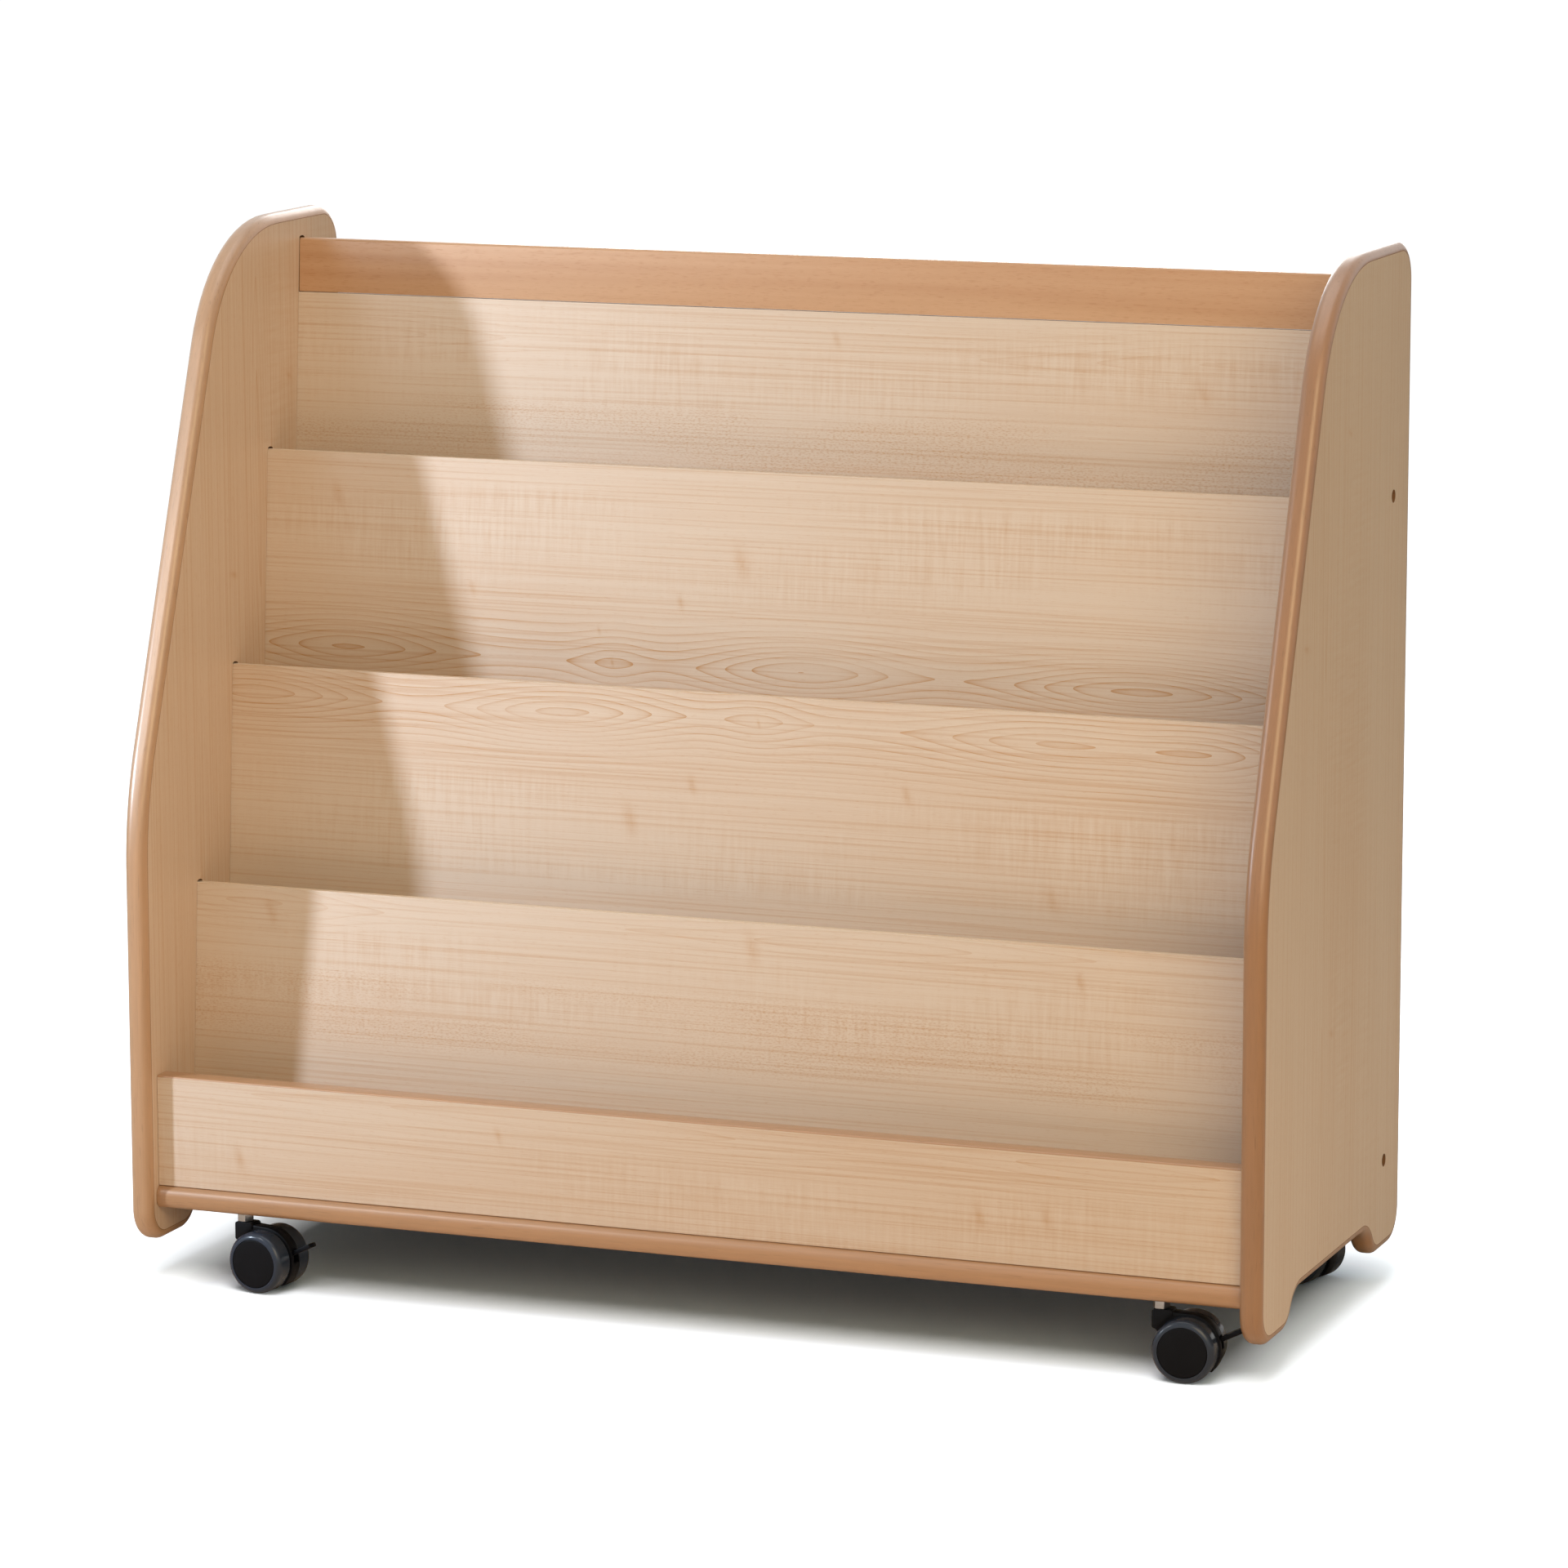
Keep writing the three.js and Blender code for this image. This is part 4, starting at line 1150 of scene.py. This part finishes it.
def hub_profile(castor):
    """Hub disc with its axle bore and rounded rim, from the bore's end to the face's middle."""
    width, ease = castor.wheel_width, castor.hub_round
    radius = castor.wheel_radius - castor.tyre_depth - castor.hub_gap
    rim = arc((radius - ease, width - ease), ease, 0, QUARTER, 5)
    bore = [(0, width - castor.hub_cap), (castor.axle_radius, width - castor.hub_cap)]
    return [*bore, (castor.axle_radius, 0), (radius, 0), *rim, (radius * 0.5, width), (0, width)]


def tyre_profile(castor):
    """Tyre ring, rounded over from the tread to the hub on its outer side."""
    width, outer = castor.wheel_width, castor.wheel_radius
    inner = outer - castor.tyre_depth
    edge = castor.tyre_inner_round
    low = arc((outer - edge, edge), edge, -QUARTER, 0, 5)
    high = arc((inner, width - castor.tyre_depth), castor.tyre_depth, 0, QUARTER, 9)
    return [(inner, 0), *low, *high, (inner, 0)]


def wheel(context, corner, side):
    """One wheel: hub and tyre, turned about the axle."""
    castor = context.scene.book_display.castor
    place, trail, axle = castor_frame(corner)
    turned = Matrix.Rotation(math.pi if side == "near" else 0, 4, "Z")
    offset = castor.web_thick / 2 + castor.wheel_gap
    seat = place @ Matrix.Translation((trail, -offset if side == "near" else offset, axle)) @ turned
    body = f"{corner}_{side}_wheel"
    hub = new_object(f"{body}_hub_fine", lathed(hub_profile(castor), 64), BLACK)
    settle(hub, seat, body, "castor_black", f"{body}_hub")
    ring = lathed(tyre_profile(castor), 72)
    bmesh.ops.remove_doubles(ring, verts=ring.verts, dist=SAME_SPOT)
    tyre = new_object(f"{body}_tyre_fine", ring, ["tyre_slate"])
    settle(tyre, seat, body, "tyre_grey", f"{body}_tyre")


def housing_web(castor, trail, axle):
    """Web between the wheels: under the head, round the boss, up the skirt and over the wheels."""
    front = castor.head_wall - castor.head_front
    top = castor.head_top - castor.head_wall
    rim = castor.wheel_radius + castor.web_over_wheel
    boss = arc((trail, axle), castor.boss_radius, 1.2 * math.pi, 1.62 * math.pi, 12)
    hood = arc((trail, axle), rim, castor.skirt, QUARTER, 40)
    points = [(front, castor.head_top - castor.head_drop), *boss, *hood]
    points += [(castor.head_rear, top), (front, top)]
    half = castor.web_thick / 2
    web = new_object("web", extruded(points, -half, half, "Y"), BLACK)
    soften(web, castor.web_round)
    return web


def housing_head(castor, trail, axle):
    """Block over the stem's pin, cut round to clear the wheels."""
    low, high = castor.head_top - castor.head_drop, castor.head_top
    front, rear, half = -castor.head_front, castor.head_rear, castor.head_width / 2
    corners = [(front, high), (front, low), (rear, low), (rear, high)]
    section = [point for point, _ in rounded(corners, [castor.head_round] * 4)]
    head = new_object("head", extruded(section, -half, half, "Y"), BLACK)
    room = castor.wheel_radius + castor.web_over_wheel + castor.head_room
    clear = rod("room", room, (trail, axle), -2 * half, 2 * half, "Y", BLACK, 96)
    combine(head, clear, "DIFFERENCE")
    soften(head, castor.web_round)
    return head


def lever_room(lever, trail, axle):
    """Room in the housing for the lever's tongue, from raised to pressed, and for its pins."""
    pivot = Vector((trail + lever.pivot_out, axle + lever.pivot_up))
    radius = lever.head_radius + lever.play
    pressed = lever.raised - lever.travel
    points = arc(pivot, radius, lever.raised + QUARTER, pressed + 3 * QUARTER, 16)
    for turn, side in ((pressed, -1), (lever.raised, 1)):
        reach = Vector((math.cos(turn), math.sin(turn))) * lever.reach
        flank = Vector((-math.sin(turn), math.cos(turn))) * radius * side
        points.append((pivot + reach + flank)[:])
    half = lever.tongue / 2 + lever.play
    room = new_object("room", extruded(points, -half, half, "Y"), BLACK)
    span = half + lever.pin_reach
    pins = rod("pins", lever.pin_radius + lever.play, pivot, -span, span, "Y", BLACK, 24)
    combine(room, pins, "UNION")
    return room


def housing(context, corner):
    """Castor housing with its bores, and with room for the lever on a braked castor."""
    display = context.scene.book_display
    castor = display.castor
    place, trail, axle = castor_frame(corner)
    piece = housing_web(castor, trail, axle)
    piece.name = f"{corner}_housing_fine"
    combine(piece, housing_head(castor, trail, axle), "UNION")
    low, high = castor.head_top - castor.bore_depth, castor.head_top + MM
    bore = rod("bore", castor.bore_radius, (0, 0), low, high, "Z", BLACK)
    combine(piece, bore, "DIFFERENCE")
    reach = castor.web_thick
    bore = rod("bore", castor.axle_radius, (trail, axle), -reach, reach, "Y", BLACK)
    combine(piece, bore, "DIFFERENCE")
    if corner.startswith("front"):
        combine(piece, lever_room(display.lever, trail, axle), "DIFFERENCE")
    settle(piece, place, f"{corner}_castor", "castor_black", f"{corner}_housing")


def stem(context, corner):
    """Castor stem: swivel pin, hexagon, flange and thread in one."""
    castor = context.scene.book_display.castor
    place, _, _ = castor_frame(corner)
    low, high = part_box(f"{corner}_stem")
    hex_low = castor.head_top + castor.hex_gap
    flange_low = hex_low + castor.hex_height
    flange_high = flange_low + castor.flange
    lip = castor.flange / 2
    rim = arc((castor.flange_radius - lip, flange_low + lip), lip, -QUARTER, QUARTER, 8)
    profile = [
        (0, low.z), (castor.pin_radius, low.z), (castor.pin_radius, flange_low), *rim,
        (castor.thread_radius, flange_high), (castor.thread_radius, high.z), (0, high.z),
    ]
    piece = new_object(f"{corner}_stem_fine", lathed(profile, 48, "Z"), ZINC)
    radius = castor.hex_flats / math.sqrt(3)
    hex_top = flange_low + lip
    prism = lathed([(0, hex_low), (radius, hex_low), (radius, hex_top), (0, hex_top)], 6, "Z")
    nut = new_object("nut", prism, ZINC)
    soften(nut, castor.hex_round)
    combine(piece, nut, "UNION")
    settle(piece, place, "carcass", "zinc_steel", f"{corner}_stem")


def lever_pedal(lever, ease):
    """The lever's pedal, with rounded arrises."""
    low, high = -lever.thick / 2, lever.thick / 2
    corners = [(lever.pedal_start, high), (lever.pedal_start, low), (lever.reach, low), (lever.reach, high)]
    section = [point for point, _ in rounded(corners, [ease] * 4)]
    half = lever.width / 2
    pedal = new_object("pedal", extruded(section, -half, half, "Y"), BLACK)
    soften(pedal, ease * 0.9)
    return pedal


def brake_lever(context, corner):
    """Foot brake: tongue on two pins, and a wider pedal."""
    display = context.scene.book_display
    lever, castor = display.lever, display.castor
    place, trail, axle = castor_frame(corner)
    half = lever.tongue_thick / 2
    end = lever.pedal_start + lever.thick
    tongue = arc((0, 0), lever.head_radius, math.pi / 4, 1.75 * math.pi, 16)
    tongue += [(end, -half), (end, half)]
    reach = lever.tongue / 2
    piece = new_object(f"{corner}_brake_lever_fine", extruded(tongue, -reach, reach, "Y"), BLACK)
    combine(piece, lever_pedal(lever, castor.web_round), "UNION")
    span = reach + lever.pin_reach
    combine(piece, rod("pins", lever.pin_radius, (0, 0), -span, span, "Y", BLACK, 24), "UNION")
    pivot = Matrix.Translation((trail + lever.pivot_out, 0, axle + lever.pivot_up))
    seat = place @ pivot @ Matrix.Rotation(-lever.raised, 4, "Y")
    settle(piece, seat, f"{corner}_brake", "castor_black", f"{corner}_brake_lever")


class BOOKDISPLAY_OT_wheels(bpy.types.Operator):
    """Build the eight castor wheels"""

    bl_idname = "bookdisplay.wheels"
    bl_label = "Castor Wheels"

    def execute(self, context):
        for corner in CORNERS:
            for side in ("near", "far"):
                wheel(context, corner, side)
        return {"FINISHED"}


class BOOKDISPLAY_OT_housings(bpy.types.Operator):
    """Build the castor housings and stems"""

    bl_idname = "bookdisplay.housings"
    bl_label = "Castor Housings and Stems"

    def execute(self, context):
        for corner in CORNERS:
            housing(context, corner)
            stem(context, corner)
        return {"FINISHED"}


class BOOKDISPLAY_OT_levers(bpy.types.Operator):
    """Build the brake levers of the front castors"""

    bl_idname = "bookdisplay.levers"
    bl_label = "Brake Levers"

    def execute(self, context):
        for corner in CORNERS[:2]:
            brake_lever(context, corner)
        return {"FINISHED"}


class BOOKDISPLAY_OT_fixings(bpy.types.Operator):
    """Give the dowels, inserts and axles their finishes"""

    bl_idname = "bookdisplay.fixings"
    bl_label = "Fixings"

    def execute(self, context):
        for name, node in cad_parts.items():
            if node.hide_render:
                continue
            title = "beech" if "dowel" in name else "plated_zinc"
            node.data.materials.clear()
            node.data.materials.append(finish_named(title))
        return {"FINISHED"}


# Stage


def studio_floor(settings):
    """Wide pale floor; a glow that camera rays alone see is painted light, rising outwards from inside the
    part's ends and front, so that the cast shadow stays under the part's middle.
    """
    bm = bmesh.new()
    bmesh.ops.create_grid(bm, x_segments=1, y_segments=1, size=FLOOR_HALF)
    mesh = bpy.data.meshes.new("studio_floor")
    bm.to_mesh(mesh)
    bm.free()
    floor = bpy.data.objects.new("studio_floor", mesh)
    bpy.context.scene.collection.objects.link(floor)
    cover = Finish("studio_floor", 0.9, 0.0)
    stage = settings.stage
    seen = cover.node("ShaderNodeLightPath", output="Is Camera Ray")
    dim = (stage.floor_bounce, stage.floor_bounce, stage.floor_bounce, 1.0)
    cover.feed("Base Color", cover.mix(dim, rgba(settings.colours.floor), seen))
    x, y, _ = cover.place()
    # Painted light: the glow starts inside the part's ends and front and lightens the cast shadow there.
    out_x = (abs(x) - (cad_box[1].x - stage.glow_ends)).math("MAXIMUM", 0.0)
    out_y = (abs(y) - (cad_box[1].y - stage.glow_front)).math("MAXIMUM", 0.0)
    far = (out_x * out_x + out_y * out_y).root().above(0.0, stage.glow_width)
    glow = far * seen * stage.floor_glow
    cover.feed("Emission Color", cover.mix((0, 0, 0, 1), (1, 1, 1, 1), glow))
    cover.feed("Emission Strength", 1.0)
    mesh.materials.append(cover.material)
    return floor


def direction(turn, tilt):
    """Unit vector to a place at a turn from the front and a height over the horizon."""
    return Vector((math.sin(turn) * math.cos(tilt), -math.cos(turn) * math.cos(tilt), math.sin(tilt)))


def light(name, kind, power, place):
    """A light at a place, turned to the middle of the part."""
    data = bpy.data.lights.new(name, kind)
    data.energy = power
    lamp = bpy.data.objects.new(name, data)
    bpy.context.scene.collection.objects.link(lamp)
    lamp.location = place
    lamp.rotation_euler = (Vector(place) - part_middle()).to_track_quat("Z", "Y").to_euler()
    return lamp


def part_middle():
    """The middle of the part's box."""
    return (cad_box[0] + cad_box[1]) / 2


def softbox(stage, title):
    """A square area light, from the settings whose names start with its title."""
    parts = ("power", "size", "distance", "azimuth", "elevation")
    power, size, distance, turn, tilt = (getattr(stage, f"{title}_{part}") for part in parts)
    lamp = light(f"{title}_softbox", "AREA", power, part_middle() + direction(turn, tilt) * distance)
    lamp.data.size = size
    return lamp


def link_floor(lamp, floor, state):
    """Keeps a light off the floor, or on the floor alone."""
    receivers = bpy.data.collections.new(f"{lamp.name}_receivers")
    receivers.objects.link(floor)
    receivers.collection_objects[0].light_linking.link_state = state
    lamp.light_linking.receiver_collection = receivers


def camera(stage):
    """Camera from its place, turn, look down and roll."""
    turn, roll = stage.azimuth, stage.roll
    back = direction(turn, stage.elevation)
    right = Vector((math.cos(turn), math.sin(turn), 0))
    up = back.cross(right)
    across = right * math.cos(roll) + up * math.sin(roll)
    above = up * math.cos(roll) - right * math.sin(roll)
    data = bpy.data.cameras.new("photo_camera")
    data.lens = stage.lens
    data.sensor_width = SENSOR_WIDTH
    data.clip_end = 100
    made = bpy.data.objects.new("photo_camera", data)
    bpy.context.scene.collection.objects.link(made)
    axes = Matrix((across, above, back)).transposed().to_4x4()
    made.matrix_world = Matrix.Translation(stage.place) @ axes
    bpy.context.scene.camera = made


def lights(stage, floor):
    """Key at the front left, softboxes at the front right, rear and top, and for gloss and floor alone."""
    key = light("key", "SPOT", stage.key_power, stage.key_place)
    key.rotation_euler = (stage.key_place - stage.key_aim).to_track_quat("Z", "Y").to_euler()
    key.data.spot_size = stage.key_beam
    key.data.spot_blend = stage.key_fade
    key.data.color = stage.key_tint
    key.data.shadow_soft_size = stage.key_radius
    link_floor(key, floor, "EXCLUDE")
    fill = softbox(stage, "fill")
    fill.data.color = stage.fill_tint
    link_floor(softbox(stage, "rear"), floor, "EXCLUDE")
    gloss = light("gloss_softbox", "AREA", stage.gloss_power, stage.gloss_place)
    gloss.data.size = stage.gloss_size
    gloss.visible_diffuse = False
    overhead = part_middle() + Vector((0, 0, stage.top_height))
    top = light("top_softbox", "AREA", stage.top_power, overhead)
    top.data.size = stage.top_size
    low = softbox(stage, "floor")
    low.data.color = stage.floor_tint
    link_floor(low, floor, "INCLUDE")


def surround(stage):
    """Even surrounding light that the camera, gloss and glass see as white."""
    world = bpy.data.worlds.new("studio")
    bpy.context.scene.world = world
    world.use_nodes = True
    tree = world.node_tree
    tree.nodes.clear()
    path = tree.nodes.new("ShaderNodeLightPath")
    seen = Term(tree, path.outputs["Is Camera Ray"])
    for title in ("Is Glossy Ray", "Is Transmission Ray"):
        seen = seen.math("MAXIMUM", Term(tree, path.outputs[title]))
    mixed = tree.nodes.new("ShaderNodeMixShader")
    plug(tree, mixed.inputs[0], seen)
    white = (1.0, 1.0, 1.0)
    for entry, tint, strength in ((1, stage.ambient_tint, stage.ambient), (2, white, 1.0)):
        glow = tree.nodes.new("ShaderNodeBackground")
        glow.inputs["Color"].default_value = rgba(tint)
        glow.inputs["Strength"].default_value = strength
        tree.links.new(glow.outputs[0], mixed.inputs[entry])
    output = tree.nodes.new("ShaderNodeOutputWorld")
    tree.links.new(mixed.outputs[0], output.inputs["Surface"])


class BOOKDISPLAY_OT_stage(bpy.types.Operator):
    """Set up the floor, the lights and the camera"""

    bl_idname = "bookdisplay.stage"
    bl_label = "Stage"

    def execute(self, context):
        display = context.scene.book_display
        floor = studio_floor(display)
        camera(display.stage)
        lights(display.stage, floor)
        surround(display.stage)
        context.scene.view_settings.view_transform = "Standard"
        return {"FINISHED"}


class BOOKDISPLAY_PT_panel(bpy.types.Panel):
    """Sizes, colours and build steps of the display"""

    bl_idname = "BOOKDISPLAY_PT_panel"
    bl_label = "Book Display"
    bl_space_type = "VIEW_3D"
    bl_region_type = "UI"
    bl_category = "Book Display"

    def draw(self, context):
        display = context.scene.book_display
        for title in ("boards", "outline", "castor", "lever", "colours", "stage"):
            group = getattr(display, title)
            box = self.layout.box()
            box.label(text=title.capitalize())
            for name in group.__annotations__:
                box.prop(group, name)
        for step in STEPS:
            self.layout.operator(step.bl_idname)


STEPS = (
    BOOKDISPLAY_OT_stage,
    BOOKDISPLAY_OT_side_panels,
    BOOKDISPLAY_OT_tiers,
    BOOKDISPLAY_OT_rail,
    BOOKDISPLAY_OT_base,
    BOOKDISPLAY_OT_wheels,
    BOOKDISPLAY_OT_housings,
    BOOKDISPLAY_OT_levers,
    BOOKDISPLAY_OT_fixings,
)
CLASSES = (
    BoardSizes, OutlineSizes, CastorSizes, LeverSizes, FinishColours, StageSettings, BookDisplay,
    *STEPS, BOOKDISPLAY_PT_panel,
)


def register():
    for kind in CLASSES:
        bpy.utils.register_class(kind)
    bpy.types.Scene.book_display = bpy.props.PointerProperty(
        type=BookDisplay, name="Book Display", description="Settings of the picture book display",
    )


def unregister():
    del bpy.types.Scene.book_display
    for kind in reversed(CLASSES):
        bpy.utils.unregister_class(kind)


def main():
    register()
    bpy.ops.bookdisplay.stage()
    bpy.ops.bookdisplay.side_panels()
    bpy.ops.bookdisplay.tiers()
    bpy.ops.bookdisplay.rail()
    bpy.ops.bookdisplay.base()
    bpy.ops.bookdisplay.wheels()
    bpy.ops.bookdisplay.housings()
    bpy.ops.bookdisplay.levers()
    bpy.ops.bookdisplay.fixings()
    bpy.context.view_layer.update()


if __name__ == "__main__":
    main()
